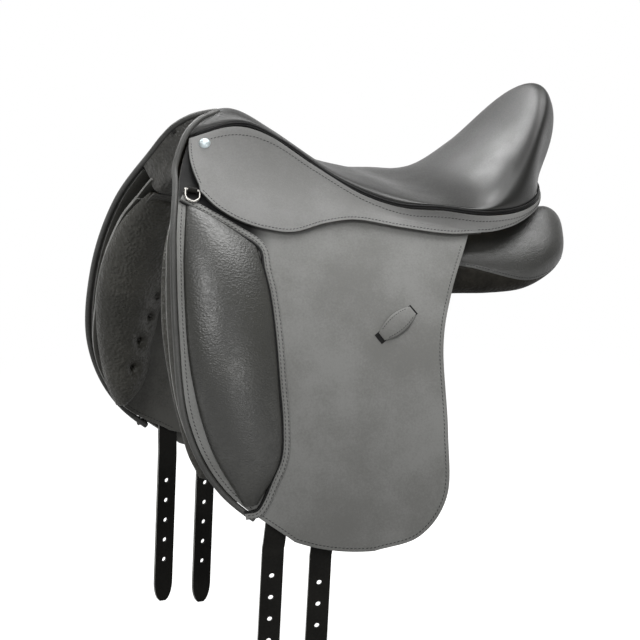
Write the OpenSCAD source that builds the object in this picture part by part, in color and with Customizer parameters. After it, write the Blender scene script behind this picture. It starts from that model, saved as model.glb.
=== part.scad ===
// Dressage saddle with long straight flaps, external knee blocks and long girth straps.
// X runs from pommel to cantle, Y from the near side to the off side, Z up.
// The near side is modelled and the off side is its mirror image in the plane Y = 0.
// A place on a side is given by three numbers: x along the side towards the cantle,
// d down the curved side from its top line, and o outwards from the flap's inner face.

/* [Sides] */
// Radius of the sides round the horse's barrel, seen end on
side_r = 384; // [370:1:400]
// Slope of the side at its top line, in degrees from upright
side_slope = 52.5; // [51:0.5:54]
// Fall of the side's long axis from pommel to cantle, in degrees
side_fall = 12; // [11:0.5:13]
// Toe-in of each side towards the pommel, in degrees
side_toe = 10; // [9:0.5:11]
// Half width of the saddle at the top line of its sides
side_half_w = 70; // [67:1:73]
// Height of the top line over the horse's back
side_z = 102; // [99:1:105]
// Distance down the side of the line where flap and skirt bend
fold_d = 36; // [35:0.5:38]
// Clearance between layers of leather
lay_gap = 0.4; // [0.35:0.05:0.5]

/* [Leather] */
// Thickness of the flap's inner layer
backing_t = 3; // [2:0.1:4]
// Thickness of the flap's outer layer
flap_t = 2.6; // [2:0.1:4]
// Thickness of the skirt
skirt_t = 3; // [2:0.1:4]
// Room between flap and skirt for the stirrup leather
skirt_stand = 3.6; // [3.2:0.1:5]
// Thickness of the sweat flap
sweat_t = 4; // [3:0.1:5]
// Thickness of the seat's cover
cover_t = 2.4; // [1.5:0.1:3]
// Diameter of the welt round the seat
welt_d = 7; // [5:0.1:8]
// Diameter of the rolled binding on the front edge
binding_d = 6.4; // [5:0.1:7]
// Thickness of the leather lining under the pommel
facing_t = 2.4; // [1.5:0.1:3]

/* [Seat] */
// Thickness of the seat's foam
foam_t = 11; // [8:0.5:13]
// Height of the pommel over the horse's back
pommel_z = 193; // [189:1:197]
// Height of the lowest point of the seat
dip_z = 96; // [93:1:99]
// Height of the cantle
cantle_z = 199; // [193:1:205]
// Half width of the seat at its widest, at the welt
seat_half_w = 122; // [119:1:125]
// Half width of the seat's twist, at the welt
twist_half_w = 75; // [73:1:78]

/* [Tree] */
// Thickness of the laminated tree
tree_t = 9; // [7:0.5:10]
// Thickness of the steel gullet plate
plate_t = 3; // [2:0.1:4]
// Width of the steel gullet plate
plate_w = 30; // [26:1:34]
// Diameter of the gullet rivets' shanks
rivet_d = 5; // [4:0.1:6]
// Thickness of the webbing
web_t = 1.6; // [1.2:0.1:2]
// Width of the girth webs
web_w = 30; // [26:1:32]

/* [Knee blocks] */
// Height of the knee block's crown over the flap
block_crown = 21; // [15:0.5:24]
// Thickness of the knee block at its edge
block_edge = 3; // [2:0.1:4]

/* [Panels] */
// Thickness of the front pad at its crown
pad_crown = 24; // [18:0.5:27]
// Thickness of the front pad at its edge
pad_edge = 6; // [4:0.5:8]
// Depth of the front pad's sewn tufts
tuft_deep = 9; // [5:0.5:12]
// Thickness of the main panel cushion at its fullest
panel_t = 56; // [50:1:58]

/* [Girth straps] */
// Width of a girth strap
strap_w = 24.5; // [22:0.5:28]
// Thickness of a girth strap
strap_t = 4; // [3.5:0.1:4.5]
// Forward lean of the girth straps, in degrees from plumb
strap_lean = 3; // [0:0.5:4]
// Length of the strap's free end below the flap
tail_len = 185; // [170:1:240]
// Length of the strap's pointed tip
tip_len = 26; // [18:1:34]
// Diameter of the buckle holes
hole_d = 6; // [5:0.1:7]
// Distance between buckle holes
hole_pitch = 25; // [20:0.5:28]
// Buckle holes in each free end
hole_n = 5; // [3:1:6]
// Distance from the flap's edge to the first buckle hole
hole_first = 32; // [20:1:40]

/* [Stirrup bars] */
// Length of the stirrup bar behind its bend
bar_len = 46; // [40:1:48]
// Height of the bar's strip
bar_h = 13; // [10:0.5:15]
// Thickness of the bar's strip
bar_t = 4; // [3:0.1:4.5]
// Slot behind the bar for the stirrup leather
bar_slot = 8; // [7:0.1:9]
// Height of the bar's base plate
bar_plate_h = 36; // [30:1:40]
// Length of the safety catch behind its pin
catch_len = 20; // [16:0.5:22]
// Diameter of the catch's hinge pin
pin_d = 4; // [3:0.1:5]

/* [Dee rings] */
// Diameter of the ring's wire
ring_wire = 3; // [2.5:0.1:3.4]
// Width of the ring over the wire's centre
ring_w = 16; // [14:0.5:17]
// Height of the ring over the wire's centre
ring_h = 15; // [13:0.5:17]
// Thickness of the leather tab that holds the ring
tab_t = 1.4; // [1:0.1:1.6]

/* [Trim] */
// Diameter of the pommel studs
stud_d = 13; // [10:0.5:15]
// Height of the pommel studs' domes
stud_h = 4; // [3:0.1:5]
// Length of the stirrup-leather keeper
keeper_len = 50; // [42:1:56]
// Height of the stirrup-leather keeper
keeper_h = 24; // [20:1:28]
// Thickness of the stirrup-leather keeper
keeper_t = 2.6; // [2:0.1:3.5]

/* [Hidden] */
$fn = 48;

// Layers of a side, as distances outwards from the flap's inner face
backing_o = backing_t;
flap_in = backing_o + lay_gap;
flap_o = flap_in + flap_t;
skirt_in = flap_o + skirt_stand;
skirt_o = skirt_in + skirt_t;
strap_o = -1.5 * lay_gap;
strap_in = strap_o - strap_t;
sweat_o = strap_in - lay_gap;
sweat_in = sweat_o - sweat_t;
panel_o = sweat_in - lay_gap;
bar_plate_t = bar_t;
bar_in = strap_in - bar_t / 2;
bar_plate_o = bar_in - bar_slot;
tree_o = bar_plate_o - bar_plate_t - lay_gap;
tree_in = tree_o - tree_t;
plate_o = tree_in - 2 * lay_gap;
facing_o = plate_o - plate_t - lay_gap;
pocket_o = facing_o - facing_t - lay_gap;

// Depths under the seat's surface
foam_top = cover_t + lay_gap;
web_top = foam_top + foam_t + 2 * lay_gap;
tree_top = web_top + web_t + 2 * lay_gap;
head_top = foam_top + foam_t + 2 * lay_gap;

function unit(v) = v / norm(v);
function mirrored(p) = [p.x, -p.y, p.z];
function mix(a, b, t) = a + (b - a) * t;
function span(n) = [for (i = [0:n]) i / n];
function hump(t, p) = pow(max(sin(180 * t), 0), p);

// A place on the near side
function wrap(x, d, o) =
    let (
        a = side_slope - d / side_r * 180 / PI,
        h = side_half_w + side_r * (cos(a) - cos(side_slope)) + o * cos(a),
        w = side_r * (sin(a) - sin(side_slope)) + o * sin(a),
        along = x * cos(side_fall) + w * sin(side_fall)
    )
    [
        along * cos(side_toe) - h * sin(side_toe),
        -along * sin(side_toe) - h * cos(side_toe),
        side_z - x * sin(side_fall) + w * cos(side_fall)
    ];

// A smooth curve through a few points, at a share t of its length
function curve(p, t) =
    let (
        n = len(p) - 1,
        s = min(max(t, 0), 1) * n,
        i = min(floor(s), n - 1),
        f = s - i,
        b = p[i],
        c = p[i + 1],
        a = i > 0 ? p[i - 1] : 2 * b - c,
        e = i + 2 <= n ? p[i + 2] : 2 * c - b
    )
    b + 0.5 * f * ((c - a) + f * ((2 * a - 5 * b + 4 * c - e) + f * (3 * b - a - 3 * c + e)));

// Outward unit normals of a grid of points, and the grid moved along them
function grid_normal(g, i, j) =
    unit(cross(
        g[min(i + 1, len(g) - 1)][j] - g[max(i - 1, 0)][j],
        g[i][min(j + 1, len(g[0]) - 1)] - g[i][max(j - 1, 0)]
    ));
function moved(g, by) =
    [for (i = [0:len(g) - 1]) [for (j = [0:len(g[0]) - 1]) g[i][j] + by * grid_normal(g, i, j)]];

// A closed sheet between an outer and an inner grid of the same size
module sheet(outer, inner) {
    m = len(outer[0]);
    n = len(outer);
    k = n * m;
    face = [
        for (i = [0:n - 2], j = [0:m - 2])
            let (a = i * m + j)
                each [[a, a + 1, a + m + 1], [a, a + m + 1, a + m]]
    ];
    rim = concat(
        [for (j = [0:m - 2]) j],
        [for (i = [0:n - 2]) i * m + m - 1],
        [for (j = [m - 1:-1:1]) (n - 1) * m + j],
        [for (i = [n - 1:-1:1]) i * m]
    );
    edge = [
        for (s = [0:len(rim) - 1])
            let (a = rim[s], b = rim[(s + 1) % len(rim)])
                each [[b, a, a + k], [b, a + k, b + k]]
    ];
    polyhedron(
        concat([for (r = outer) each r], [for (r = inner) each r]),
        concat(face, [for (f = face) [f[2] + k, f[1] + k, f[0] + k]], edge)
    );
}

// A closed skin over rings of points that follow each other along a path
module skin(rings, round_trip = false) {
    m = len(rings[0]);
    n = len(rings);
    wall = [
        for (i = [0:round_trip ? n - 1 : n - 2], j = [0:m - 1])
            let (a = i * m + j, b = i * m + (j + 1) % m, s = n * m)
                each [[a, (b + m) % s, b], [a, (a + m) % s, (b + m) % s]]
    ];
    ends = round_trip ? [] : [
        for (j = [1:m - 2])
            each [[0, j, j + 1], [(n - 1) * m, (n - 1) * m + j + 1, (n - 1) * m + j]]
    ];
    polyhedron([for (r = rings) each r], concat(wall, ends));
}

// Rings of a round cord along a path, set square to it
function cord_rings(path, out, r, sides, round_trip = false) =
    let (n = len(path))
    [
        for (i = [0:n - 1])
            let (
                before = round_trip ? path[(i + n - 1) % n] : path[max(i - 1, 0)],
                after = round_trip ? path[(i + 1) % n] : path[min(i + 1, n - 1)],
                along = unit(after - before),
                across = unit(cross(along, out[i])),
                up = cross(across, along)
            )
            [for (s = [0:sides - 1]) path[i] + r * (up * cos(360 * s / sides) + across * sin(360 * s / sides))]
    ];

// A grid on the side, between a front edge and a rear edge that both run downwards
function side_grid(front, rear, rows, cols, o, sag = 0) =
    [
        for (v = span(rows))
            [
                for (u = span(cols))
                    let (p = mix(curve(front, v), curve(rear, v), u))
                        wrap(p.x, p.y + sag * 4 * u * (1 - u) * pow(v, 4), is_function(o) ? o(u, v) : o)
            ]
    ];

// A grid ruled between an upper and a lower curve, over the shares of each that are asked for
function ruled_grid(upper, lower, rows, cols, from = 0, to = 1, start = 0, end = 1) =
    [
        for (t = span(rows))
            [
                for (v = span(cols))
                    let (s = mix(start, end, v))
                        mix(curve(upper, s), curve(lower, s), mix(from, to, t))
            ]
    ];

// Puts its children in a place on the near side: X along it, Y up it, Z outwards
module on_side(x, d, o) {
    p = wrap(x, d, o);
    ex = unit(wrap(x + 1, d, o) - p);
    ez = unit(wrap(x, d, o + 1) - p);
    ey = cross(ez, ex);
    multmatrix([
        [ex.x, ey.x, ez.x, p.x],
        [ex.y, ey.y, ez.y, p.y],
        [ex.z, ey.z, ez.z, p.z]
    ])
        children();
}

module off_side() {
    mirror([0, 1, 0]) children();
}

// The seat's surface runs across from its spine to the welt, station by station from pommel to cantle
seat_spine = [
    [-164, 0, pommel_z - 2], [-131, 0, pommel_z], [-92, 0, mix(dip_z, pommel_z, 0.763)],
    [-33, 0, mix(dip_z, pommel_z, 0.326)], [25, 0, dip_z + 12], [75, 0, dip_z],
    [128, 0, mix(dip_z, cantle_z, 0.126)], [182, 0, mix(dip_z, cantle_z, 0.515)], [232, 0, cantle_z - 1],
    [250, 0, cantle_z - 14], [253, 0, mix(dip_z, cantle_z, 0.515)], [237, 0, dip_z - 12]
];
seat_edge = [
    [-190, -22, pommel_z - 20], [-137, -32, pommel_z - 10], [-94, -46, mix(dip_z, pommel_z, 0.676)],
    [-36, -twist_half_w, dip_z + 22], [18, -0.82 * seat_half_w, dip_z - 5], [70, -0.95 * seat_half_w, dip_z - 14],
    [118, -seat_half_w, dip_z - 20], [160, -0.94 * seat_half_w, dip_z - 20], [190, -0.79 * seat_half_w, dip_z - 18],
    [212, -0.57 * seat_half_w, dip_z - 16], [226, -0.33 * seat_half_w, dip_z - 15],
    [234, -0.035 * seat_half_w, dip_z - 14]
];
// Reach of each station's crown, across from the spine and up from the welt
seat_crown = [12, 20, 28, 42, 59, 64, 63, 57, 63, 56, 34, 3];
seat_swell = [
    [6, -2, 8], [0, 0, 6], [0, 0, 6], [0, 0, 11], [0, -2, 15], [0, -4, 11],
    [4, -8, 10], [-9, -9, 31], [-10, -5, 50], [-8, 0, 54], [0, 2, 28], [2, 0, 2]
];
function seat_point(v, u) =
    let (
        s = curve(seat_spine, v),
        b = curve(seat_edge, v),
        p1 = s - [0, curve(seat_crown, v), 0],
        p2 = b + curve(seat_swell, v),
        t = abs(u),
        q = pow(1 - t, 3) * s + 3 * t * pow(1 - t, 2) * p1 + 3 * t * t * (1 - t) * p2 + pow(t, 3) * b
    )
    u <= 0 ? q : mirrored(q);
function seat_grid(v0, v1, u0, u1, rows, cols) =
    [for (v = span(rows)) [for (u = span(cols)) seat_point(mix(v0, v1, v), mix(u0, u1, u))]];
// Stations where the tree's parts meet, and the edges of its head and opening
head_v0 = 0.05;
head_v1 = 0.21;
rail_v1 = 0.6;
cantle_v1 = 0.65;
joint_v = 0.0015;
rail_u0 = 0.46;
rail_u1 = 0.8;
cantle_u1 = 0.57;
tree_u1 = 0.9;

// What lies inside the seat is narrower than its surface, most of all in the pommel and deep down
inner_taper = 0.0055;
function inner_share(v) =
    v < head_v1
        ? mix(0.42, 0.75, max(v - head_v0, 0) / (head_v1 - head_v0))
        : mix(0.75, 0.82, min((v - head_v1) / (rail_v1 - head_v1), 1));
function inner_point(v, u, depth) =
    let (
        p = seat_point(v, u),
        along = unit(curve(seat_spine, v + 0.01) - curve(seat_spine, v - 0.01))
    )
    [p.x, (inner_share(v) - inner_taper * (depth - head_top)) * p.y, p.z] - depth * [-along.z, 0, along.x];
function inner_grid(v0, v1, u0, u1, rows, cols, depth) =
    [for (v = span(rows)) [for (u = span(cols)) inner_point(mix(v0, v1, v), mix(u0, u1, u), depth)]];

// The head is a narrow arch inside the pommel
module tree_head() {
    color("burlywood") sheet(
        inner_grid(head_v0, head_v1, -tree_u1, tree_u1, 4, 10, head_top),
        inner_grid(head_v0, head_v1, -tree_u1, tree_u1, 4, 10, head_top + tree_t)
    );
}

module tree_rail() {
    color("burlywood") sheet(
        inner_grid(head_v1 + joint_v, rail_v1, -rail_u1, -rail_u0, 10, 3, tree_top),
        inner_grid(head_v1 + joint_v, rail_v1, -rail_u1, -rail_u0, 10, 3, tree_top + tree_t)
    );
}
module near_tree_rail() { tree_rail(); }
module off_tree_rail() { off_side() tree_rail(); }

module tree_cantle() {
    color("burlywood") sheet(
        inner_grid(rail_v1 + joint_v, cantle_v1, -cantle_u1, cantle_u1, 4, 10, head_top + 2 * lay_gap),
        inner_grid(rail_v1 + joint_v, cantle_v1, -cantle_u1, cantle_u1, 4, 10, head_top + 2 * lay_gap + tree_t)
    );
}

// The tree's points carry the stirrup bars and run from the head down inside the side
point_x0 = -186;
point_x1 = -100;
point_d1 = fold_d + 20;
point_v0 = 0.07;
point_v1 = 0.17;
function point_grid(o, depth) =
    let (
        top = [for (v = span(5)) inner_point(mix(point_v0, point_v1, v), -tree_u1, depth)],
        side = [
            for (t = span(4))
                [for (x = span(5)) wrap(mix(point_x0, point_x1, x), mix(point_d1 - 60, point_d1, t), o)]
        ]
    )
    concat([mix(top, side[0], 0.02), mix(top, side[0], 0.55)], side);
rivet_spots = [for (d = [point_d1 - 34, point_d1 - 12]) [point_x0 + 9, d]];

module rivet_shanks(gap) {
    for (r = rivet_spots)
        on_side(r.x, r.y, facing_o)
            cylinder(d = rivet_d + 2 * gap, h = tree_o - facing_o + 12);
}

module tree_point() {
    color("burlywood") difference() {
        sheet(
            point_grid(tree_o, head_top + tree_t + lay_gap),
            point_grid(tree_in, head_top + 2 * tree_t)
        );
        rivet_shanks(lay_gap / 2);
    }
}
module near_tree_point() { tree_point(); }
module off_tree_point() { off_side() tree_point(); }

// The gullet plate is a bent steel strip under the pommel, from one tree point to the other
gullet_rise = 0.25;
plate_ds = [point_d1 + 6, point_d1 - 12, point_d1 - 28, point_d1 - 46, point_d1 - 60];
function arch_grid(x0, x1, ds, o) =
    let (
        xs = [for (t = span(3)) mix(x0, x1, t)],
        near = [for (d = ds) [for (x = xs) wrap(x, d, o)]],
        top = near[len(ds) - 1],
        ridge = [for (p = top) [p.x, 0, p.z - p.y * gullet_rise]],
        cols = concat(near, [ridge], [for (i = [len(ds) - 1:-1:0]) [for (p = near[i]) mirrored(p)]])
    )
    [for (j = [0:3]) [for (c = cols) c[j]]];
module arch(x0, x1, ds, o, t) {
    sheet(arch_grid(x0, x1, ds, o), arch_grid(x0, x1, ds, o - t));
}
module gullet_plate() {
    color("silver") difference() {
        arch(point_x0 - 4, point_x0 - 4 + plate_w, plate_ds, plate_o, plate_t);
        rivet_shanks(lay_gap / 2);
        off_side() rivet_shanks(lay_gap / 2);
    }
}

rivet_head_t = 1.6;
module gullet_rivet(x, d) {
    on_side(x, d, plate_o - plate_t) {
        cylinder(d = rivet_d, h = tree_o + lay_gap - plate_o + plate_t);
        translate([0, 0, tree_o + lay_gap - plate_o + plate_t])
            cylinder(d = 1.8 * rivet_d, h = rivet_head_t);
    }
}
module gullet_rivets() {
    color("gainsboro") {
        for (r = rivet_spots) {
            gullet_rivet(r.x, r.y);
            off_side() gullet_rivet(r.x, r.y);
        }
    }
}

// A step across a strap or web that keeps square to its hanging line
function level_step(d) =
    [cos(side_fall - strap_lean), -sin(side_fall - strap_lean) / cos(side_slope - d / side_r * 180 / PI)];

// Webbing: one lengthwise web fills the tree's opening, two cross over it and carry the girth straps
web_v = [0.255, 0.325];
web_x = [-84, -40];
web_low = fold_d + 36;
seat_web_u = 0.34;
seat_run = 640;
module seat_web() {
    color("beige") sheet(
        inner_grid(head_v1 + joint_v, rail_v1, -seat_web_u, seat_web_u, 10, 4, tree_top),
        inner_grid(head_v1 + joint_v, rail_v1, -seat_web_u, seat_web_u, 10, 4, tree_top + web_t)
    );
}
function web_row(v, x, side_v) =
    let (
        half = side_v * web_w / 2,
        dv = half / seat_run,
        over = [for (u = span(7)) inner_point(v + dv, -0.875 * (1 - u), web_top)],
        down = [
            for (d = [web_low, web_low - 20, fold_d - 4])
                let (p = [x, d] + half * level_step(d)) wrap(p.x, p.y, strap_o - lay_gap)
        ],
        near = concat(down, over)
    )
    concat(near, [for (i = [len(near) - 2:-1:0]) mirrored(near[i])]);
module girth_web(i) {
    g = [for (s = span(3)) web_row(web_v[i], web_x[i], 2 * s - 1)];
    color("beige") sheet(g, moved(g, -web_t));
}
module front_girth_web() { girth_web(0); }
module rear_girth_web() { girth_web(1); }

seat_rows = 26;
seat_cols = 16;
seat_skin = seat_grid(0, 1, -1, 1, seat_rows, seat_cols);
// The same grid without its outermost lines
function inside(g) = [for (i = [1:len(g) - 2]) [for (j = [1:len(g[0]) - 2]) g[i][j]]];
module seat_cover() {
    color([0.09, 0.09, 0.09]) sheet(seat_skin, moved(seat_skin, -cover_t));
}
// The foam ends at the top of the cantle
foam_rows = 18;
foam_v1 = foam_rows / seat_rows;
module seat_foam() {
    skin = seat_grid(0, foam_v1, -1, 1, foam_rows, seat_cols);
    core = inner_grid(0, foam_v1, -1, 1, foam_rows, seat_cols, foam_top + foam_t);
    color("khaki") sheet(inside(moved(skin, -foam_top)), inside(core));
}

// The welt follows the seat's edge all round the back, between cover and skirts
function welt_at(v) =
    let (
        e = 2 / seat_cols,
        p = seat_point(v, -1),
        down = unit(p - seat_point(v, e - 1)),
        along = seat_point(min(v + 0.01, 1), -1) - seat_point(max(v - 0.01, 0), -1)
    )
    p + down * (welt_d / 2 + 3 * lay_gap) + unit(cross(down, along)) * cover_t / 2;
welt_v0 = 0.018;
module seat_welt() {
    near = [for (v = span(26)) welt_at(mix(welt_v0, 1, v))];
    path = concat(near, [for (i = [len(near) - 1:-1:0]) mirrored(near[i])]);
    out = [for (p = path) unit([0.2, p.y / 60, 1])];
    color([0.07, 0.07, 0.07]) skin(cord_rings(path, out, welt_d / 2, 8));
}

// The rolled edge over the pommel, from the fold line up the front and across
binding_o = flap_in - lay_gap / 2;
binding_out = binding_d / 2 + lay_gap;
pommel_rise = [
    wrap(-205 - binding_out, fold_d - 4, binding_o), wrap(-206 - binding_out, fold_d - 25, binding_o),
    [-206, -31, pommel_z - 32], [-195, -21, pommel_z - 18], [-181, -11, pommel_z - 8], [-168, 0, pommel_z - 3]
];
module pommel_binding() {
    near = [for (t = span(10)) curve(pommel_rise, t)];
    path = concat(near, [for (i = [len(near) - 2:-1:0]) mirrored(near[i])]);
    out = [for (p = path) unit([0, p.y, 30])];
    color([0.08, 0.08, 0.08]) skin(cord_rings(path, out, binding_d / 2, 8));
}

// The facing closes the front of the pommel and lines its underside
facing_xs = [-196, -160, -112];
module pommel_facing() {
    steps = 6;
    rise = [for (t = span(steps)) curve(pommel_rise, t) + [0.4, 0, -1.3] * binding_out];
    lining = [
        for (x = facing_xs)
            let (p = [for (t = span(steps - 1)) wrap(x, mix(fold_d - 4, point_d1 - 60, t), facing_o)])
                concat(p, [[p[steps - 1].x, 0, p[steps - 1].z - p[steps - 1].y * gullet_rise]])
    ];
    half = concat([rise], [mix(rise, lining[0], 0.5)], lining);
    g = [for (r = half) concat(r, [for (i = [steps - 1:-1:0]) mirrored(r[i])])];
    color([0.13, 0.13, 0.12]) sheet(g, moved(g, -facing_t));
}

// Leather pockets hold the ends of the gullet plate
module point_pocket() {
    front = [[-200, fold_d - 1], [-204, point_d1 + 8]];
    rear = [[-140, fold_d - 1], [-140, point_d1 + 8]];
    color([0.14, 0.14, 0.13])
        sheet(side_grid(front, rear, 3, 3, facing_o), side_grid(front, rear, 3, 3, facing_o - facing_t));
}
module near_point_pocket() { point_pocket(); }
module off_point_pocket() { off_side() point_pocket(); }

// Skirts hang from the welt; below the fold line they lift
skirt_xs = [-181, -136, -92, -45, 5, 52, 97, 140];
skirt_tail = [[-3, -7, -15], [3, -7, -13], [7, -6, -12], [9, -4, -12], [10, -3, -12], [11, 1, -12]];
skirt_n = len(skirt_xs) + len(skirt_tail) - 1;
skirt_d = fold_d - 2.5 * lay_gap;
skirt_foot = concat(
    [for (x = skirt_xs) wrap(x, skirt_d, skirt_o)],
    [for (i = [0:len(skirt_tail) - 1]) welt_at((len(skirt_xs) + i) / skirt_n) + skirt_tail[i]]
);
function skirt_out(i) =
    let (v = i / skirt_n)
    unit(cross(skirt_foot[i] - welt_at(v), welt_at(min(v + 0.02, 1)) - welt_at(max(v - 0.02, 0))));
skirt_top = [
    for (i = [0:skirt_n])
        let (p = welt_at(i / skirt_n))
            p + unit(skirt_foot[i] - p) * (welt_d / 2 + 4 * lay_gap) + skirt_out(i) * skirt_t / 2
];
skirt_top_in = [for (i = [0:skirt_n]) skirt_top[i] - skirt_out(i) * skirt_t];
skirt_foot_in = [
    for (i = [0:skirt_n])
        i < len(skirt_xs) ? wrap(skirt_xs[i], skirt_d, skirt_in) : skirt_foot[i] - skirt_out(i) * skirt_t
];
module skirt() {
    color([0.16, 0.16, 0.16])
        sheet(ruled_grid(skirt_top, skirt_foot, 4, 26), ruled_grid(skirt_top_in, skirt_foot_in, 4, 26));
}
module near_skirt() { skirt(); }
module off_skirt() { off_side() skirt(); }

lobe_low = [
    [-177, fold_d + 8], [-160, fold_d + 25], [-134, fold_d + 37], [-102, fold_d + 41], [-74, fold_d + 38],
    [-40, fold_d + 21], [-4, fold_d + 9], [46, fold_d + 11], [100, fold_d + 10], [143, fold_d + 2]
];
module skirt_lobe() {
    top = [for (x = [-181, -18, 145]) [x, fold_d + lay_gap / 2]];
    lift = function (o) [
        for (t = span(3))
            [for (u = span(18)) let (p = mix(curve(top, u), curve(lobe_low, u), t)) wrap(p.x, p.y, o)]
    ];
    color([0.16, 0.16, 0.16]) sheet(lift(skirt_o), lift(skirt_in));
}
module near_skirt_lobe() { skirt_lobe(); }
module off_skirt_lobe() { off_side() skirt_lobe(); }

// The flap's fixed top lies under the skirt, above the fold line
flap_top_xs = concat([-204], [for (i = [1:6]) skirt_xs[i]], [126]);
flap_top_shares = [0, 0.3, 0.35, 0.4, 0.4, 0.45, 0.5, 0.5];
flap_top_head = [
    for (i = [0:7])
        i == 0
            ? curve(pommel_rise, 0.46) + [2, 0, -1] * binding_out
            : mix(skirt_top_in[i], skirt_foot_in[i], flap_top_shares[i]) - 2 * skirt_out(i)
];
module flap_top() {
    head_in = [for (i = [0:7]) flap_top_head[i] - skirt_out(i) * flap_o];
    foot = function (o) [for (x = flap_top_xs) wrap(x, skirt_d, o)];
    color([0.15, 0.15, 0.15])
        sheet(ruled_grid(flap_top_head, foot(flap_o), 4, 16), ruled_grid(head_in, foot(0), 4, 16));
}
module near_flap_top() { flap_top(); }
module off_flap_top() { off_side() flap_top(); }

// Outline of the flap below the fold line, front edge and rear edge
flap_d0 = fold_d + lay_gap / 2;
flap_front = [[-205, flap_d0], [-204, 108], [-191, 205], [-165, 298], [-112, 365], [-24, 412]];
flap_rear = [[127, flap_d0], [108, 112], [103, 178], [120, 266], [132, 335], [112, 384], [66, 409]];
flap_sag = 5;

// Stirrup bar in its place, with a window in the flap round it
bar_x = -164;
bar_d = fold_d + 14;
module bar_window() {
    on_side(bar_x, bar_d, -1)
        translate([6, -bar_h / 2 - 3, -4])
            cube([bar_len + catch_len + 4, bar_h + 15, flap_o + 12]);
}
module flap_backing() {
    color([0.12, 0.12, 0.12]) difference() {
        sheet(
            side_grid(flap_front, flap_rear, 16, 9, backing_o, flap_sag),
            side_grid(flap_front, flap_rear, 16, 9, 0, flap_sag)
        );
        bar_window();
    }
}
module near_flap_backing() { flap_backing(); }
module off_flap_backing() { off_side() flap_backing(); }

module flap() {
    color([0.2, 0.2, 0.2]) difference() {
        sheet(
            side_grid(flap_front, flap_rear, 16, 9, flap_o, flap_sag),
            side_grid(flap_front, flap_rear, 16, 9, flap_in, flap_sag)
        );
        bar_window();
    }
}
module near_flap() { flap(); }
module off_flap() { off_side() flap(); }

module flap_binding() {
    vs = [for (t = span(16)) mix(0.015, 0.9, t)];
    path = [for (v = vs) let (p = curve(flap_front, v)) wrap(p.x - binding_out, p.y + binding_out * v, binding_o)];
    out = [for (v = vs) let (p = curve(flap_front, v)) wrap(p.x, p.y, 1) - wrap(p.x, p.y, 0)];
    color([0.08, 0.08, 0.08]) skin(cord_rings(path, out, binding_d / 2, 8));
}
module near_flap_binding() { flap_binding(); }
module off_flap_binding() { off_side() flap_binding(); }

block_front = [[-199, 64], [-194, 140], [-176, 236], [-140, 318], [-90, 378]];
block_rear = [[-112, 100], [-94, 150], [-74, 241], [-58, 318], [-74, 374]];
module knee_block() {
    base = flap_o + lay_gap;
    top = function (u, v) base + block_edge + block_crown * hump(0.04 + 0.92 * u, 0.55) * hump(0.03 + 0.94 * v, 0.45);
    color([0.12, 0.12, 0.12])
        sheet(side_grid(block_front, block_rear, 14, 9, top), side_grid(block_front, block_rear, 14, 9, base));
}
module near_knee_block() { knee_block(); }
module off_knee_block() { off_side() knee_block(); }

// Lens-shaped keeper that holds the end of the stirrup leather against the flap
keeper_x = 48;
keeper_d = 158;
keeper_turn = 47;
keeper_r = (pow(keeper_len, 2) + pow(keeper_h, 2)) / (4 * keeper_h);
module keeper() {
    color([0.18, 0.18, 0.18])
        on_side(keeper_x, keeper_d, flap_o + lay_gap)
            rotate(keeper_turn)
                linear_extrude(keeper_t)
                    intersection_for(s = [-1, 1])
                        translate([0, s * (keeper_r - keeper_h / 2)]) circle(keeper_r, $fn = 96);
}
module near_keeper() { keeper(); }
module off_keeper() { off_side() keeper(); }

// Sweat flap between the girth straps and the panel
sweat_front = [[-207, 64], [-209, 112], [-199, 202], [-172, 298], [-120, 366], [-46, 396]];
sweat_rear = [[98, 64], [90, 142], [90, 222], [102, 300], [94, 360], [52, 390]];
module sweat_flap() {
    color([0.14, 0.14, 0.14]) sheet(
        side_grid(sweat_front, sweat_rear, 16, 6, sweat_o, flap_sag),
        side_grid(sweat_front, sweat_rear, 16, 6, sweat_in, flap_sag)
    );
}
module near_sweat_flap() { sweat_flap(); }
module off_sweat_flap() { off_side() sweat_flap(); }

// Front pad of the panel, crowned towards the horse and drawn in by sewn tufts
pad_front = [[-211, 66], [-217, 110], [-211, 190], [-186, 262], [-152, 328], [-130, 356]];
pad_rear = [[-122, 66], [-120, 130], [-116, 200], [-110, 270], [-106, 326], [-116, 354]];
tufts = [[0.66, 0.5], [0.6, 0.6], [0.56, 0.71], [0.54, 0.82]];
function tuft_at(u, v) =
    max([for (t = tufts) exp(-(pow((u - t.x) / 0.11, 2) + pow((v - t.y) / 0.042, 2)))]);
module panel_pad() {
    deep = function (u, v)
        panel_o - pad_edge - pad_crown * hump(0.03 + 0.94 * u, 0.5) * hump(0.05 + 0.92 * v, 0.4)
        + tuft_deep * tuft_at(u, v);
    color([0.15, 0.15, 0.14])
        sheet(side_grid(pad_front, pad_rear, 22, 10, panel_o), side_grid(pad_front, pad_rear, 22, 10, deep));
}
module near_panel_pad() { panel_pad(); }
module off_panel_pad() { off_side() panel_pad(); }

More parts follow.
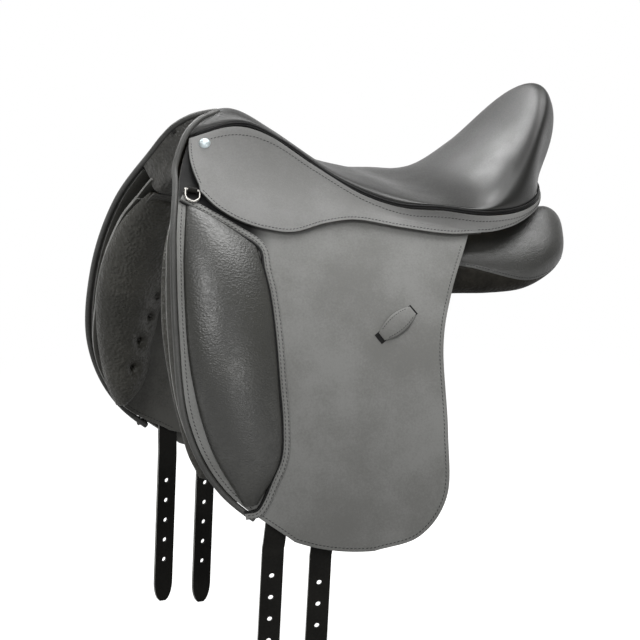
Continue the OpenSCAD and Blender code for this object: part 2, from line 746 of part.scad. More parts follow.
// Main panel cushion: x, middle and half width down the side, share of the full thickness
panel_stations = [
    [-100, 92, 16, 0.35], [-88, 90, 32, 0.7], [-50, 86, 44, 0.95], [10, 76, 47, 1], [70, 61, 45, 1],
    [120, 46, 45, 1], [165, 30, 51, 1], [205, 14, 53, 0.98], [234, -2, 46, 0.86], [252, -9, 26, 0.5]
];
panel_sides = 16;
panel_lean = 20;
function squircle(c) = sign(c) * pow(abs(c), 0.72);
module panel() {
    rings = [
        for (v = span(22))
            let (s = curve(panel_stations, v), half = panel_t / 2 * s[3], mid = panel_o - lay_gap - panel_t / 2)
                [
                    for (i = [0:panel_sides - 1])
                        let (a = 360 * i / panel_sides)
                            wrap(
                                s.x,
                                s.y + s.z * squircle(sin(a)) + panel_lean * s[3] * min(cos(a), 0),
                                mid + half * squircle(cos(a))
                            )
                ]
    ];
    color([0.12, 0.12, 0.12]) skin(rings);
}
module near_panel() { panel(); }
module off_panel() { off_side() panel(); }

// Leather lining of the channel between the two cushions
lining_t = 2;
module channel_lining() {
    near = [
        for (v = span(10))
            let (s = curve(panel_stations, mix(0.12, 0.93, v)), mid = panel_o - lay_gap - panel_t / 2)
                wrap(s.x, s.y - s.z - 3 * lay_gap - lining_t, mid)
    ];
    g = [
        for (p = near)
            [for (u = span(6)) [p.x, p.y * (1 - 2 * u), p.z + lining_rise * sin(180 * u)]]
    ];
    color([0.13, 0.13, 0.12]) sheet(g, moved(g, -lining_t));
}
lining_rise = 6;

// Girth straps hang from the webs; each has a fixed run under the flap and a free end below it
strap_top = web_low + lay_gap;
strap_low = 424;
strap_bottom_x = [-44, 10];
function strap_line(i, t) = [mix(web_x[i], strap_bottom_x[i], t), mix(strap_top, strap_low, t)];
module strap(i) {
    g = function (o) [
        for (t = span(18))
            [
                for (s = [-0.5, 0.5])
                    let (c = strap_line(i, t), p = c + s * strap_w * level_step(c.y)) wrap(p.x, p.y, o)
            ]
    ];
    color([0.1, 0.1, 0.1]) sheet(g(strap_o), g(strap_in));
}
module near_front_strap() { strap(0); }
module off_front_strap() { off_side() strap(0); }
module near_rear_strap() { strap(1); }
module off_rear_strap() { off_side() strap(1); }

strap_end_d = strap_low + strap_t / 2 + lay_gap;
module strap_end(i) {
    p = wrap(strap_bottom_x[i], strap_end_d, (strap_o + strap_in) / 2);
    half = strap_w / 2;
    color([0.1, 0.1, 0.1])
        translate(p) rotate([0, 0, -side_toe]) rotate([0, strap_lean, 0]) difference() {
            union() {
                rotate([0, 90, 0]) cylinder(d = strap_t, h = strap_w, center = true);
                rotate([90, 0, 0]) linear_extrude(strap_t, center = true) polygon([
                    [-half, 0], [half, 0], [half, tip_len - tail_len], [half * 0.3, -tail_len],
                    [-half * 0.3, -tail_len], [-half, tip_len - tail_len]
                ]);
            }
            for (k = [0:hole_n - 1])
                translate([0, 0, -hole_first - k * hole_pitch])
                    rotate([90, 0, 0]) cylinder(d = hole_d, h = 2 * strap_t, center = true);
        }
}
module near_front_strap_end() { strap_end(0); }
module off_front_strap_end() { off_side() strap_end(0); }
module near_rear_strap_end() { strap_end(1); }
module off_rear_strap_end() { off_side() strap_end(1); }

// Stirrup bar: a plate on the tree's point, bent forwards and back on itself, with a hinged catch
bend_r = (bar_slot + bar_t) / 2;
lap_t = bar_t / 2;
pin_x = bar_len - 7;
module stirrup_bar() {
    color("silver")
        on_side(bar_x, bar_d, bar_plate_o - bar_plate_t) difference() {
            union() {
                translate([0, -bar_h / 2, 0]) cube([bar_len - 4, bar_plate_h, bar_plate_t]);
                translate([0, -bar_h / 2, bar_plate_t + bar_slot]) cube([pin_x - bar_h / 2, bar_h, bar_t]);
                translate([pin_x - bar_h / 2, -bar_h / 2, bar_plate_t + bar_slot]) cube([bar_h / 2, bar_h, lap_t]);
                translate([pin_x, 0, bar_plate_t + bar_slot]) cylinder(d = bar_h, h = lap_t);
                translate([0, 0, bar_plate_t + bar_slot / 2])
                    rotate([90, 0, 0])
                        rotate_extrude(angle = 180, start = 90) translate([bar_slot / 2, -bar_h / 2]) square([bar_t, bar_h]);
            }
            translate([pin_x, 0, bar_plate_t + bar_slot - 1]) cylinder(d = pin_d, h = bar_t + 2);
        }
}
module near_stirrup_bar() { stirrup_bar(); }
module off_stirrup_bar() { off_side() stirrup_bar(); }

catch_z = bar_plate_t + bar_slot + lap_t + lay_gap;
module bar_catch() {
    color("gainsboro")
        on_side(bar_x, bar_d, bar_plate_o - bar_plate_t)
            translate([pin_x, 0, catch_z]) difference() {
                union() {
                    cylinder(d = bar_h - 1, h = lap_t);
                    translate([0, -bar_h / 2 + 0.5, 0]) cube([catch_len - 4, bar_h - 1, lap_t]);
                    translate([catch_len - 4, 0, 0]) cylinder(d = bar_h - 1, h = lap_t);
                }
                translate([0, 0, -1]) cylinder(d = pin_d + lay_gap, h = lap_t + 2);
            }
}
module near_bar_catch() { bar_catch(); }
module off_bar_catch() { off_side() bar_catch(); }

module catch_pin() {
    on_side(bar_x, bar_d, bar_plate_o - bar_plate_t)
        translate([pin_x, 0, bar_plate_t + bar_slot]) cylinder(d = pin_d, h = bar_t + 2 * lay_gap);
}
module catch_pins() {
    color("dimgray") {
        catch_pin();
        off_side() catch_pin();
    }
}

// Dee ring in a leather tab on the flap's top front corner, just in front of the skirt
dee_x = -191;
dee_d = fold_d + 6.5;
dee_o = flap_o + 2 * lay_gap + tab_t + ring_wire / 2;
tab_r = ring_wire / 2 + lay_gap;
module dee_tab() {
    color([0.14, 0.14, 0.14])
        on_side(dee_x, dee_d, dee_o) difference() {
            union() {
                rotate([0, 90, 0]) cylinder(r = tab_r + tab_t, h = ring_w - ring_wire - 3, center = true);
                translate([-(ring_w - ring_wire - 3) / 2, 0, -tab_r - tab_t])
                    cube([ring_w - ring_wire - 3, dee_d - fold_d - 1.5, tab_t]);
            }
            rotate([0, 90, 0]) cylinder(r = tab_r, h = 2 * ring_w, center = true);
        }
}
module near_dee_tab() { dee_tab(); }
module off_dee_tab() { off_side() dee_tab(); }

module dee_ring() {
    bow_r = ring_w / 2;
    leg = ring_h - bow_r;
    color("gainsboro")
        on_side(dee_x, dee_d, dee_o) {
            rotate([0, 90, 0]) cylinder(d = ring_wire, h = ring_w, center = true);
            for (s = [-1, 1])
                translate([s * bow_r, 0, 0]) {
                    sphere(d = ring_wire);
                    rotate([90, 0, 0]) cylinder(d = ring_wire, h = leg);
                }
            translate([0, -leg, 0])
                rotate_extrude(angle = 180, start = 180) translate([bow_r, 0]) circle(d = ring_wire);
        }
}
module near_dee_ring() { dee_ring(); }
module off_dee_ring() { off_side() dee_ring(); }

// Domed studs at the front of the skirts
stud_v = 0.3 / 13;
module pommel_stud() {
    p = mix(curve(skirt_top, stud_v), curve(skirt_foot, stud_v), 0.13);
    q = mix(curve(skirt_top, stud_v + 0.02), curve(skirt_foot, stud_v + 0.02), 0.13);
    down = mix(curve(skirt_top, stud_v), curve(skirt_foot, stud_v), 0.23) - p;
    ez = unit(cross(down, q - p));
    ex = unit(q - p);
    ey = cross(ez, ex);
    dome_r = (pow(stud_d / 2, 2) + pow(stud_h, 2)) / (2 * stud_h);
    at = p + ez * lay_gap;
    multmatrix([[ex.x, ey.x, ez.x, at.x], [ex.y, ey.y, ez.y, at.y], [ex.z, ey.z, ez.z, at.z]])
        intersection() {
            translate([0, 0, stud_h - dome_r]) sphere(dome_r);
            cylinder(d = 2 * stud_d, h = 2 * stud_h);
        }
}
module pommel_studs() {
    color("lightgray") {
        pommel_stud();
        off_side() pommel_stud();
    }
}

tree_head();
near_tree_point();
off_tree_point();
near_tree_rail();
off_tree_rail();
tree_cantle();
gullet_plate();
gullet_rivets();
seat_web();
front_girth_web();
rear_girth_web();
seat_foam();
seat_cover();
seat_welt();
pommel_facing();
pommel_binding();
pommel_studs();
near_skirt();
off_skirt();
near_flap_top();
off_flap_top();
near_stirrup_bar();
off_stirrup_bar();
catch_pins();
near_sweat_flap();
off_sweat_flap();
near_panel();
off_panel();
channel_lining();
near_panel_pad();
off_panel_pad();
near_point_pocket();
off_point_pocket();
near_front_strap();
off_front_strap();
near_rear_strap();
off_rear_strap();
near_flap_backing();
off_flap_backing();
near_flap();
off_flap();
near_flap_binding();
off_flap_binding();
near_knee_block();
off_knee_block();
near_keeper();
off_keeper();
near_dee_tab();
off_dee_tab();
near_skirt_lobe();
off_skirt_lobe();
near_front_strap_end();
off_front_strap_end();
near_rear_strap_end();
off_rear_strap_end();
near_dee_ring();
off_dee_ring();
near_bar_catch();
off_bar_catch();
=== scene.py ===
"""Dressage saddle: leather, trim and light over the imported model, in metres, in the model's own frame.

Shapes are worked out in millimetres. The near side is modelled and the off side is its mirror image.
A place on a side is given by x along the side towards the cantle, d down the curved side from its
top line, and o outwards from the flap's inner face, as in the part's source.
"""

import math

import bpy
from mathutils import Matrix, Vector


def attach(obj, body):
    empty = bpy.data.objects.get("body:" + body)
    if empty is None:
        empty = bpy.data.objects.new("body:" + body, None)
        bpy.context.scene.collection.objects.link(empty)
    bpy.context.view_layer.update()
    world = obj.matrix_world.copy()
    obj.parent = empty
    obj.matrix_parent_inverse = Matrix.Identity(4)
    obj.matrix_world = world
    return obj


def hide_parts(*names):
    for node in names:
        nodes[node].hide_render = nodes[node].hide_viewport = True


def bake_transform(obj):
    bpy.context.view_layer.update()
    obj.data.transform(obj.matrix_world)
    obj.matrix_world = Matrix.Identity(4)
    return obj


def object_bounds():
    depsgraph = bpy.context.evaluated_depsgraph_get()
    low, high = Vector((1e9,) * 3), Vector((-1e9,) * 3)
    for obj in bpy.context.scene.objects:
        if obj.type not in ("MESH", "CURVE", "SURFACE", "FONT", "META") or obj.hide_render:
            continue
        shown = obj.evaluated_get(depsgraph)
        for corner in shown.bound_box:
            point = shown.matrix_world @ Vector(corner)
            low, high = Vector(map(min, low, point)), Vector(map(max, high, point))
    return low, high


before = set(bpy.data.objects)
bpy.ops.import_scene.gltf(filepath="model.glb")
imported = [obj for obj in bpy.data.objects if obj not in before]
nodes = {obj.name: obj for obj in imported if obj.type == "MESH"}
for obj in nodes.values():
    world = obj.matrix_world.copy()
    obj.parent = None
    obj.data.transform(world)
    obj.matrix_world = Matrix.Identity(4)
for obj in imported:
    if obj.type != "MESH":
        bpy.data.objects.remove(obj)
cad_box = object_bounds()

MM = 0.001
CREASE_ANGLE = 40
THREAD_LIFT = 0.1
CORD_CREASE = 50
RIM_ANGLE = 50
WELD = 0.02


def vectors(*places):
    return [Vector(place) for place in places]


# Sides
SIDE_RADIUS = 384
SIDE_SLOPE = math.radians(52.5)
SIDE_FALL = math.radians(12)
SIDE_TOE = math.radians(10)
SIDE_HALF_WIDTH = 70
SIDE_HEIGHT = 102
FOLD = 36

# Layers, outwards from the flap's inner face
BACKING_OUT = 3.0
FLAP_OUT = 6.0
FLAP_THICK = 2.6
SKIRT_OUT = 12.6
SKIRT_THICK = 3.0
STRAP_OUT = -0.6
STRAP_THICK = 4.0
SWEAT_OUT = -5.0
SWEAT_THICK = 4.0
PANEL_OUT = -9.4
PAD_OUT = -29
SWEAT_TUCK = 15
FACING_OUT = -32.2

# Seat, station by station from pommel to cantle
SEAT_SPINE = vectors(
    (-164, 0, 191), (-131, 0, 193), (-92, 0, 170), (-33, 0, 127.6), (25, 0, 108), (75, 0, 96),
    (128, 0, 109), (182, 0, 149), (232, 0, 198), (250, 0, 185), (253, 0, 149), (234, 0, 97),
)
SEAT_EDGE = vectors(
    (-190, -22, 173), (-137, -32, 186), (-94, -46, 166), (-36, -75, 122), (18, -100, 98),
    (70, -115.9, 92), (118, -122, 84), (160, -114.7, 82.5), (190, -96.4, 86), (209, -69.5, 90),
    (222, -40.3, 93), (230, -4.3, 95),
)
SEAT_CROWN = [12, 20, 28, 42, 59, 64, 63, 57, 63, 56, 34, 3]
SEAT_SWELL = vectors(
    (6, -2, 8), (0, 0, 3), (0, 0, 1.6), (0, 0, 7), (0, -2, 8), (0, -4, 1), (4, -8, 2), (-9, -9, 24.5),
    (-10, -5, 42), (-5, 0, 44), (5, 2, 16), (5, 0, 2),
)
# The tree's own line under the welt, which the webs and the foam follow
TREE_EDGE = vectors(
    (-190, -22, 173), (-137, -32, 183), (-94, -46, 161.6), (-36, -75, 118), (18, -100, 91),
    (70, -115.9, 82), (118, -122, 76), (160, -114.7, 76), (190, -96.4, 78), (212, -69.5, 80),
    (226, -40.3, 81), (234, -4.3, 82),
)
TREE_SWELL = vectors(
    (6, -2, 8), (0, 0, 6), (0, 0, 6), (0, 0, 11), (0, -2, 15), (0, -4, 11), (4, -8, 10), (-9, -9, 31),
    (-10, -5, 50), (-8, 0, 54), (0, 2, 28), (2, 0, 2),
)
SEAT_THICK = 2.4
FOAM_DEPTH = 2.8
FOAM_THICK = 11
WEB_DEPTH = 14.6
SEAT_WEB_DEPTH = 17.0
WEB_THICK = 1.6
WEB_WIDTH = 30
WEB_FALL = (FOLD + 36, FOLD + 16, FOLD - 4)
WEB_IN = 0.4
SEAT_WEB_SPAN = (0.22, 0.6)
SEAT_WEB_HALF = 0.34
SEAT_RUN = 640
WEB_STATION = {"front": 0.255, "rear": 0.325}
FOAM_FROM = 0.04
FOAM_TO = 0.65
INSIDE_EDGE = 0.875
INSIDE_POMMEL = 0.42
INSIDE_WAIST = 0.75
INSIDE_SEAT = 0.82
INSIDE_TAPER = 0.0055
INSIDE_FROM = 0.05
INSIDE_RISE = 0.16
INSIDE_WAIST_AT = 0.21
INSIDE_SPREAD = 0.39
EDGE_TURN = 0.06
EDGE_UNDER = 7.0
EDGE_IN = 2.2
SEAT_START = 0.041
SEAT_START_FADE = (0.0, 0.3)
SEAT_FRONT_PULL = Vector((6.5, 0, 1.5))
PULL_ACROSS = (0.1, 0.5)
PULL_ALONG = (0.0, 0.035)
WELT_DROP = 4.7
WELT_STAND = 1.2
PIPING_RADIUS = 1.4
PIPING_IN = 0.3
PIPING_START = 0.012
PIPING_ROWS = {"upper": -2.5, "lower": -0.1}

# Skirt
SKIRT_FOLD = FOLD - 1.0
SKIRT_FOOT_X = [-184.5, -136, -92, -45, 5, 52, 97, 140]
SKIRT_TAIL = vectors(
    (-3, -7, -15), (-2, -6.5, -10), (-1, -6, -8), (0, -4, -7.5), (1, -3, -7.5), (2, 1, -7.5),
)
SKIRT_STATIONS = 13
SKIRT_DROP = 2.0
SKIRT_STAND = 1.5
SKIRT_OVER_FOLD = 0.5
SKIRT_CROWN = 0.8
SKIRT_PLAIN = (0.44, 0.6)
SKIRT_FRONT = (0.0, 0.12)
SKIRT_FRONT_BEND = 15
SKIRT_LAP = 1.8
SKIRT_LAP_END = (0.52, 0.54)
SKIRT_ROWS = 15
LOBE_ROWS = 17
EDGE_ROW = 0.5
SKIRT_COLUMNS = 130
LOBE_COLUMNS = 70
LOBE_LOW = vectors(
    (-182.5, FOLD + 8), (-162.5, FOLD + 25), (-134, FOLD + 37), (-102, FOLD + 41), (-74, FOLD + 38),
    (-40, FOLD + 21), (-4, FOLD + 10), (46, FOLD + 10), (100, FOLD + 8), (140, FOLD - 0.8),
)

# Flap
FLAP_FRONT = vectors(
    (-205, 36.2), (-204, 108), (-191, 205), (-165, 298), (-112, 365), (-24, 412),
)
FLAP_REAR = vectors(
    (127, 36.2), (108, 112), (103, 178), (120, 266), (132, 335), (112, 384), (66, 409),
)
FLAP_SAG = 5
# The patch between binding, skirt and the block's band takes painted shadow from the skirt, which fades
# out towards the rear
PATCH_LINE = vectors((-203.5, 55), (-112.5, 99))
PATCH_SHADOW_FADE = (-126, -96)
FLAP_TOP_X = [-204, -136, -92, -45, 5, 52, 97, 126]
FLAP_TOP_SHARE = [0, 0.3, 0.35, 0.4, 0.4, 0.45, 0.5, 0.5]
FLAP_TOP_ROWS = 0.12
FLAP_TOP_START = 0.62
FLAP_UNDER_SKIRT = 2
FLAP_OVER_FOLD = 0.45
FLAP_BEND = 7
BACKING_ACROSS = (0.003, 0.997)
BACKING_DOWN = (0.012, 0.998)
BACKING_THICK = 2.8
BINDING_RADIUS = 3.5
BINDING_OUT = 3.6
BINDING_LAYER = 3.2
BINDING_END = 0.9

# Stirrup bar's place, for the window in the flap
BAR_X = -164
BAR_D = FOLD + 14
BAR_WINDOW = Vector((70, 28, 30))
BAR_WINDOW_AHEAD = 6
BAR_WINDOW_UP = -9.5
BAR_WINDOW_ROUND = 5

# Knee block, front and rear edges
BLOCK_FRONT = vectors(
    (-197, 60), (-194, 140), (-176, 236), (-140, 318), (-90, 378),
)
BLOCK_REAR = vectors(
    (-115, 98), (-97, 150), (-76, 241), (-60, 318), (-74, 374),
)
BLOCK_CROWN = 23
BLOCK_PEAK = 0.42
BLOCK_LIFT = 0.5
BLOCK_FRONT_ROUND = 0.62
BLOCK_REAR_ROUND = 0.7
BLOCK_END_ROUND = 0.5
# The black cord inside the band is painted shadow: the shade line between band and block
SHADE_LINE_IN = -2.4
SHADE_LINE_LIFT = 1.2
SHADE_LINE_RADIUS = 1.3
BAND_MIDDLE = 3
BAND_HALF = 4
BAND_LIFT = 0.3
BAND_RISE = 2.2
BAND_THICK = 1.0
BAND_TOP = vectors((-203.5, 55), (-172, 68), (-140, 82), (-112, 97))
BAND_LOW = vectors((-71, 380), (-86, 388))

# Sweat flap, front pad and panel
SWEAT_FRONT = vectors(
    (-207, 64), (-209, 112), (-199, 202), (-172, 298), (-120, 366), (-46, 396),
)
SWEAT_REAR = vectors(
    (98, 64), (90, 142), (90, 222), (102, 300), (94, 360), (52, 390),
)
TUCK_WIDTH = (4, 62)
TUCK_END = (230, 340)
TAB_FRONT = -206
TAB_REAR = (-190, -184)
TAB_REACH = (26, 68)
TAB_LIFT = 0.6
TAB_NARROW = 0.35
TAB_THICK = 3.0
PAD_FRONT = vectors(
    (-202, 40), (-211, 110), (-205, 190), (-186, 262), (-158, 332), (-136, 366),
)
PAD_REAR = vectors(
    (-122, 60), (-120, 130), (-116, 200), (-110, 270), (-108, 328), (-126, 366),
)
PAD_BACK = 6
PAD_FULL = 29
PAD_ROUND_ACROSS = 0.42
PAD_ROUND_DOWN = 0.36
TUFT_DEEP = 14
TUFT_WIDE = 0.13
TUFT_TALL = 0.035
DIMPLE_SHARE = 0.45
PIT_SHARE = 0.55
PIT_SHARP = 9
PAD_TUFTS = [(0.84, 0.41), (0.79, 0.5), (0.66, 0.605), (0.545, 0.725)]
PANEL_STATIONS = vectors(
    (-104, 92, 4, 0.08), (-100, 92, 16, 0.35), (-88, 90, 32, 0.7), (-50, 86, 44, 0.95), (10, 76, 47, 1),
    (70, 61, 45, 1), (120, 46, 45, 1), (165, 30, 51, 1), (205, 11, 56, 0.98), (234, -11, 54, 0.9),
    (252, -20, 36, 0.6), (258, -20, 4, 0.08),
)
PANEL_THICK = 56
PANEL_LEAN = 20
PANEL_SQUARE = 0.72
PANEL_MIDDLE = PANEL_OUT - 0.4 - PANEL_THICK / 2
SEAM_TURN = (0.30, 0.49)
SEAM_DROP = (0.5, 0.85)
SEAM_GROOVE = 1.6
GROOVE_WIDTH = 0.010
SEAM_ROW = 0.4

# Pommel facing, point pocket and channel lining
FACING_RUNS = (-196, -160, -112)
FACING_REACH = (FOLD - 4, FOLD - 40)
FACING_SIDE = 5 / 6
FACING_IN = Vector((1.5, 0, -0.6))
FACING_RIDGE = 0.25
FACING_THICK = 2.4
POCKET_FRONT = (-200, -204)
POCKET_REAR = -116
POCKET_REACH = (FOLD - 1, FOLD + 40)
LINING_SPAN = (0.12, 0.93)
LINING_OVER = 3.2
LINING_ARCH = 6
LINING_THICK = 2.0

# Girth straps
STRAP_TOP = 72.4
STRAP_LOW = 424
STRAP_END = 426.4
STRAP_TOP_X = {"front": -84, "rear": -40}
STRAP_BOTTOM_X = {"front": -44, "rear": 10}
STRAP_WIDTH = 24.5
STRAP_LEAN = math.radians(3)
TAIL_LENGTH = 185
TIP_LENGTH = 26
TIP_CUT = 0.9
TIP_ROUND = 2.2
STRAP_BEND = 9
STRAP_WHOLE = STRAP_END - STRAP_TOP + TAIL_LENGTH
HOLE_DIAMETER = 6
HOLE_FIRST = 32
HOLE_PITCH = 25
HOLE_COUNT = 5

# Thread: distances in from an edge or across the band, and shares of keeper and panel
FLAP_THREAD = 4.2
SWEAT_THREAD = 4.0
LOBE_THREAD = 3.2
TAIL_THREAD = 3.0
WELT_THREAD = (9.5, 6.0)
BAND_THREAD = (1.2, 5.0)
KEEPER_THREAD = (0.13, 0.87)
SEAM_THREAD = SEAM_ROW - 0.013

# Keeper
KEEPER_X = 48
KEEPER_D = 158
KEEPER_TURN = math.radians(47)
KEEPER_LENGTH = 48
KEEPER_HEIGHT = 22
KEEPER_END = 10.5
KEEPER_LIFT = 1.0
KEEPER_RISE = 4.5
KEEPER_THICK = 1.6
# The black sheet at the keeper's ends is painted shadow in the openings they go into
SLOT_LIFT = 0.45
SLOT_THICK = 0.4
SLOT_RIM = 1.0
SLOT_OPEN_LOW = 5
SLOT_OPEN_HIGH = 2


def mix(a, b, t):
    return a + (b - a) * t


def smooth(low, high, value):
    t = min(max((value - low) / (high - low), 0.0), 1.0)
    return t * t * (3 - 2 * t)


def hump(t, power):
    return max(math.sin(math.pi * min(max(t, 0.0), 1.0)), 0.0) ** power


def curve(points, t):
    """A smooth curve through a few points or numbers, at a share t of its length."""
    last = len(points) - 1
    s = min(max(t, 0.0), 1.0) * last
    i = min(int(s), last - 1)
    f = s - i
    b = points[i]
    c = points[i + 1]
    a = points[i - 1] if i > 0 else 2 * b - c
    e = points[i + 2] if i + 2 <= last else 2 * c - b
    return b + 0.5 * f * ((c - a) + f * ((2 * a - 5 * b + 4 * c - e) + f * (3 * b - a - 3 * c + e)))


def wrap(x, d, o):
    """A place on the near side."""
    lean = SIDE_SLOPE - d / SIDE_RADIUS
    out = SIDE_HALF_WIDTH + SIDE_RADIUS * (math.cos(lean) - math.cos(SIDE_SLOPE)) + o * math.cos(lean)
    rise = SIDE_RADIUS * (math.sin(lean) - math.sin(SIDE_SLOPE)) + o * math.sin(lean)
    along = x * math.cos(SIDE_FALL) + rise * math.sin(SIDE_FALL)
    return Vector((
        along * math.cos(SIDE_TOE) - out * math.sin(SIDE_TOE),
        -along * math.sin(SIDE_TOE) - out * math.cos(SIDE_TOE),
        SIDE_HEIGHT - x * math.sin(SIDE_FALL) + rise * math.cos(SIDE_FALL),
    ))


# Directions down and along the side at the fold line
HANG = (wrap(0, FOLD, 0) - wrap(0, FOLD - 4, 0)).normalized()
REARWARD = (wrap(1, FOLD, 0) - wrap(0, FOLD, 0)).normalized()


def off_side(p):
    """The same place on the off side."""
    return Vector((p.x, -p.y, p.z))


def side_axes(x, d, o):
    """The place, and unit directions along, up and out of the side there."""
    at = wrap(x, d, o)
    along = (wrap(x + 1, d, o) - at).normalized()
    out = (wrap(x, d, o + 1) - at).normalized()
    return at, along, out.cross(along), out


def side_place(front, rear, u, v, sag=0.0):
    """x and d between a front and a rear edge that both run downwards."""
    p = mix(curve(front, v), curve(rear, v), u)
    return Vector((p.x, p.y + sag * 4 * u * (1 - u) * v ** 4))


def seat_point(v, u, edges=SEAT_EDGE, swells=SEAT_SWELL):
    """The seat's surface, v from pommel to cantle, u from the near welt at -1 to the off welt at 1."""
    spine = curve(SEAT_SPINE, v)
    edge = curve(edges, v)
    high = spine - Vector((0, curve(SEAT_CROWN, v), 0))
    low = edge + curve(swells, v)
    t = abs(u)
    q = spine * (1 - t) ** 3 + high * 3 * t * (1 - t) ** 2 + low * 3 * t * t * (1 - t) + edge * t ** 3
    return q if u <= 0 else off_side(q)


def seat_inside(v, u, depth):
    """A point of what lies inside the seat, which is narrower than its surface."""
    share = mix(INSIDE_POMMEL, INSIDE_WAIST, max(v - INSIDE_FROM, 0) / INSIDE_RISE)
    if v >= INSIDE_WAIST_AT:
        share = mix(INSIDE_WAIST, INSIDE_SEAT, min((v - INSIDE_WAIST_AT) / INSIDE_SPREAD, 1))
    along = (curve(SEAT_SPINE, v + 0.01) - curve(SEAT_SPINE, v - 0.01)).normalized()
    p = seat_point(v, u, TREE_EDGE, TREE_SWELL)
    p.y *= share - INSIDE_TAPER * (depth - WEB_DEPTH)
    return p - depth * Vector((-along.z, 0, along.x))


def welt_frame(v):
    """The welt's middle, and its directions down and out of the seat."""
    at = seat_point(v, -1)
    down = seat_point(v, -1, TREE_EDGE, TREE_SWELL) - seat_point(v, -INSIDE_EDGE, TREE_EDGE, TREE_SWELL)
    down.normalize()
    along = seat_point(min(v + 0.01, 1), -1) - seat_point(max(v - 0.01, 0), -1)
    out = down.cross(along).normalized()
    return at + down * WELT_DROP + out * WELT_STAND, down, out


def welt_at(v):
    return welt_frame(v)[0]


SKIRT_FOOT = [wrap(x, SKIRT_FOLD, SKIRT_OUT) for x in SKIRT_FOOT_X]
SKIRT_FOOT += [
    welt_at((len(SKIRT_FOOT_X) + i) / SKIRT_STATIONS) + tail for i, tail in enumerate(SKIRT_TAIL)
]


def skirt_out(i):
    v = i / SKIRT_STATIONS
    run = welt_at(min(v + 0.02, 1)) - welt_at(max(v - 0.02, 0))
    return (SKIRT_FOOT[i] - welt_at(v)).cross(run).normalized()


SKIRT_TOP = []
for station in range(SKIRT_STATIONS + 1):
    welt = welt_at(station / SKIRT_STATIONS)
    fall = (SKIRT_FOOT[station] - welt).normalized()
    SKIRT_TOP.append(welt + fall * SKIRT_DROP + skirt_out(station) * SKIRT_STAND)

POMMEL_RISE = [
    wrap(-205 - BINDING_OUT, FOLD - 4, BINDING_LAYER), wrap(-206 - BINDING_OUT, FOLD - 25, BINDING_LAYER),
    Vector((-206, -31, 161)), Vector((-194, -21, 176)), Vector((-176, -11, 187)), Vector((-153, 0, 192)),
    Vector((-176, 11, 187)),
]


def pommel_line(t):
    """The binding's middle line from the near fold to the top of the pommel."""
    return curve(POMMEL_RISE, t * (len(POMMEL_RISE) - 2) / (len(POMMEL_RISE) - 1))


FLAP_TOP_HEAD = [pommel_line(FLAP_TOP_START) + Vector((1.2, 0, -1)) * BINDING_OUT]
for station in range(1, 8):
    out = skirt_out(station)
    head = mix(SKIRT_TOP[station], SKIRT_FOOT[station], FLAP_TOP_SHARE[station])
    FLAP_TOP_HEAD.append(head - out * (SKIRT_THICK + FLAP_UNDER_SKIRT))


def fold_column_x(column):
    """x on the fold line of one of the skirt's columns."""
    return curve(SKIRT_FOOT_X, column / LOBE_COLUMNS)


def skirt_upper(s, t):
    """The skirt between welt and fold, s from pommel to cantle, t from welt to fold."""
    top = curve(SKIRT_TOP, s)
    foot = curve(SKIRT_FOOT, s)
    reach = (foot - top).length
    over_fold = foot - HANG * reach * SKIRT_OVER_FOLD
    crown = (foot - top).cross(curve(SKIRT_TOP, s + 0.01) - top).normalized() * SKIRT_CROWN
    plain = (top + foot) * 0.5 + crown
    bend = mix(over_fold, plain, smooth(*SKIRT_PLAIN, s))
    bend = bend - REARWARD * SKIRT_FRONT_BEND * (1 - smooth(*SKIRT_FRONT, s))
    return top * (1 - t) ** 2 + bend * 2 * t * (1 - t) + foot * t * t


def lobe_point(column, t):
    """The skirt below the fold, by column, t from fold to lower edge."""
    x = fold_column_x(column)
    low = curve(LOBE_LOW, column / LOBE_COLUMNS)
    p = mix(Vector((x, SKIRT_FOLD)), low, t)
    return wrap(p.x, p.y, SKIRT_OUT)


def flap_head(x):
    """The flap's hidden upper edge over a place on the fold line."""
    for i in range(len(FLAP_TOP_X) - 1):
        if x <= FLAP_TOP_X[i + 1] or i == len(FLAP_TOP_X) - 2:
            t = (x - FLAP_TOP_X[i]) / (FLAP_TOP_X[i + 1] - FLAP_TOP_X[i])
            return curve(FLAP_TOP_HEAD, (i + min(max(t, 0.0), 1.0)) / (len(FLAP_TOP_X) - 1))
    return FLAP_TOP_HEAD[-1]


def flap_point(u, v):
    """The flap's outer face, from its hidden upper edge over the fold to its lower edge."""
    if v >= FLAP_TOP_ROWS:
        p = side_place(FLAP_FRONT, FLAP_REAR, u, (v - FLAP_TOP_ROWS) / (1 - FLAP_TOP_ROWS), FLAP_SAG)
        return wrap(p.x, p.y, FLAP_OUT)
    t = v / FLAP_TOP_ROWS
    x = mix(FLAP_FRONT[0].x, FLAP_REAR[0].x, u)
    foot = wrap(x, FLAP_FRONT[0].y, FLAP_OUT)
    head = flap_head(x)
    bend = foot - HANG * (foot - head).length * FLAP_OVER_FOLD
    return head * (1 - t) ** 2 + bend * 2 * t * (1 - t) + foot * t * t


# Making of pieces


def alone(piece):
    """Makes one piece the only one that operators act on."""
    bpy.ops.object.select_all(action="DESELECT")
    piece.select_set(True)
    bpy.context.view_layer.objects.active = piece
    return piece


def started(primitive, **settings):
    """Adds a primitive with nothing else selected."""
    bpy.ops.object.select_all(action="DESELECT")
    primitive(**settings)
    return bpy.context.object


def smoothed(piece, degrees):
    """Shades a piece smooth, but for its sharper edges."""
    alone(piece)
    bpy.ops.object.shade_smooth_by_angle(angle=math.radians(degrees))
    return piece


def worked(piece, kind, **settings):
    """Adds one modifier to a piece and applies it."""
    alone(piece)
    modifier = piece.modifiers.new(kind.title(), kind)
    for key, value in settings.items():
        setattr(modifier, key, value)
    bpy.ops.object.modifier_apply(modifier=modifier.name)
    return piece


def cut_out(piece, cutter):
    """Cuts one shape out of a piece and takes the cutter away."""
    worked(piece, "BOOLEAN", operation="DIFFERENCE", solver="EXACT", object=cutter)
    bpy.data.objects.remove(cutter, do_unlink=True)


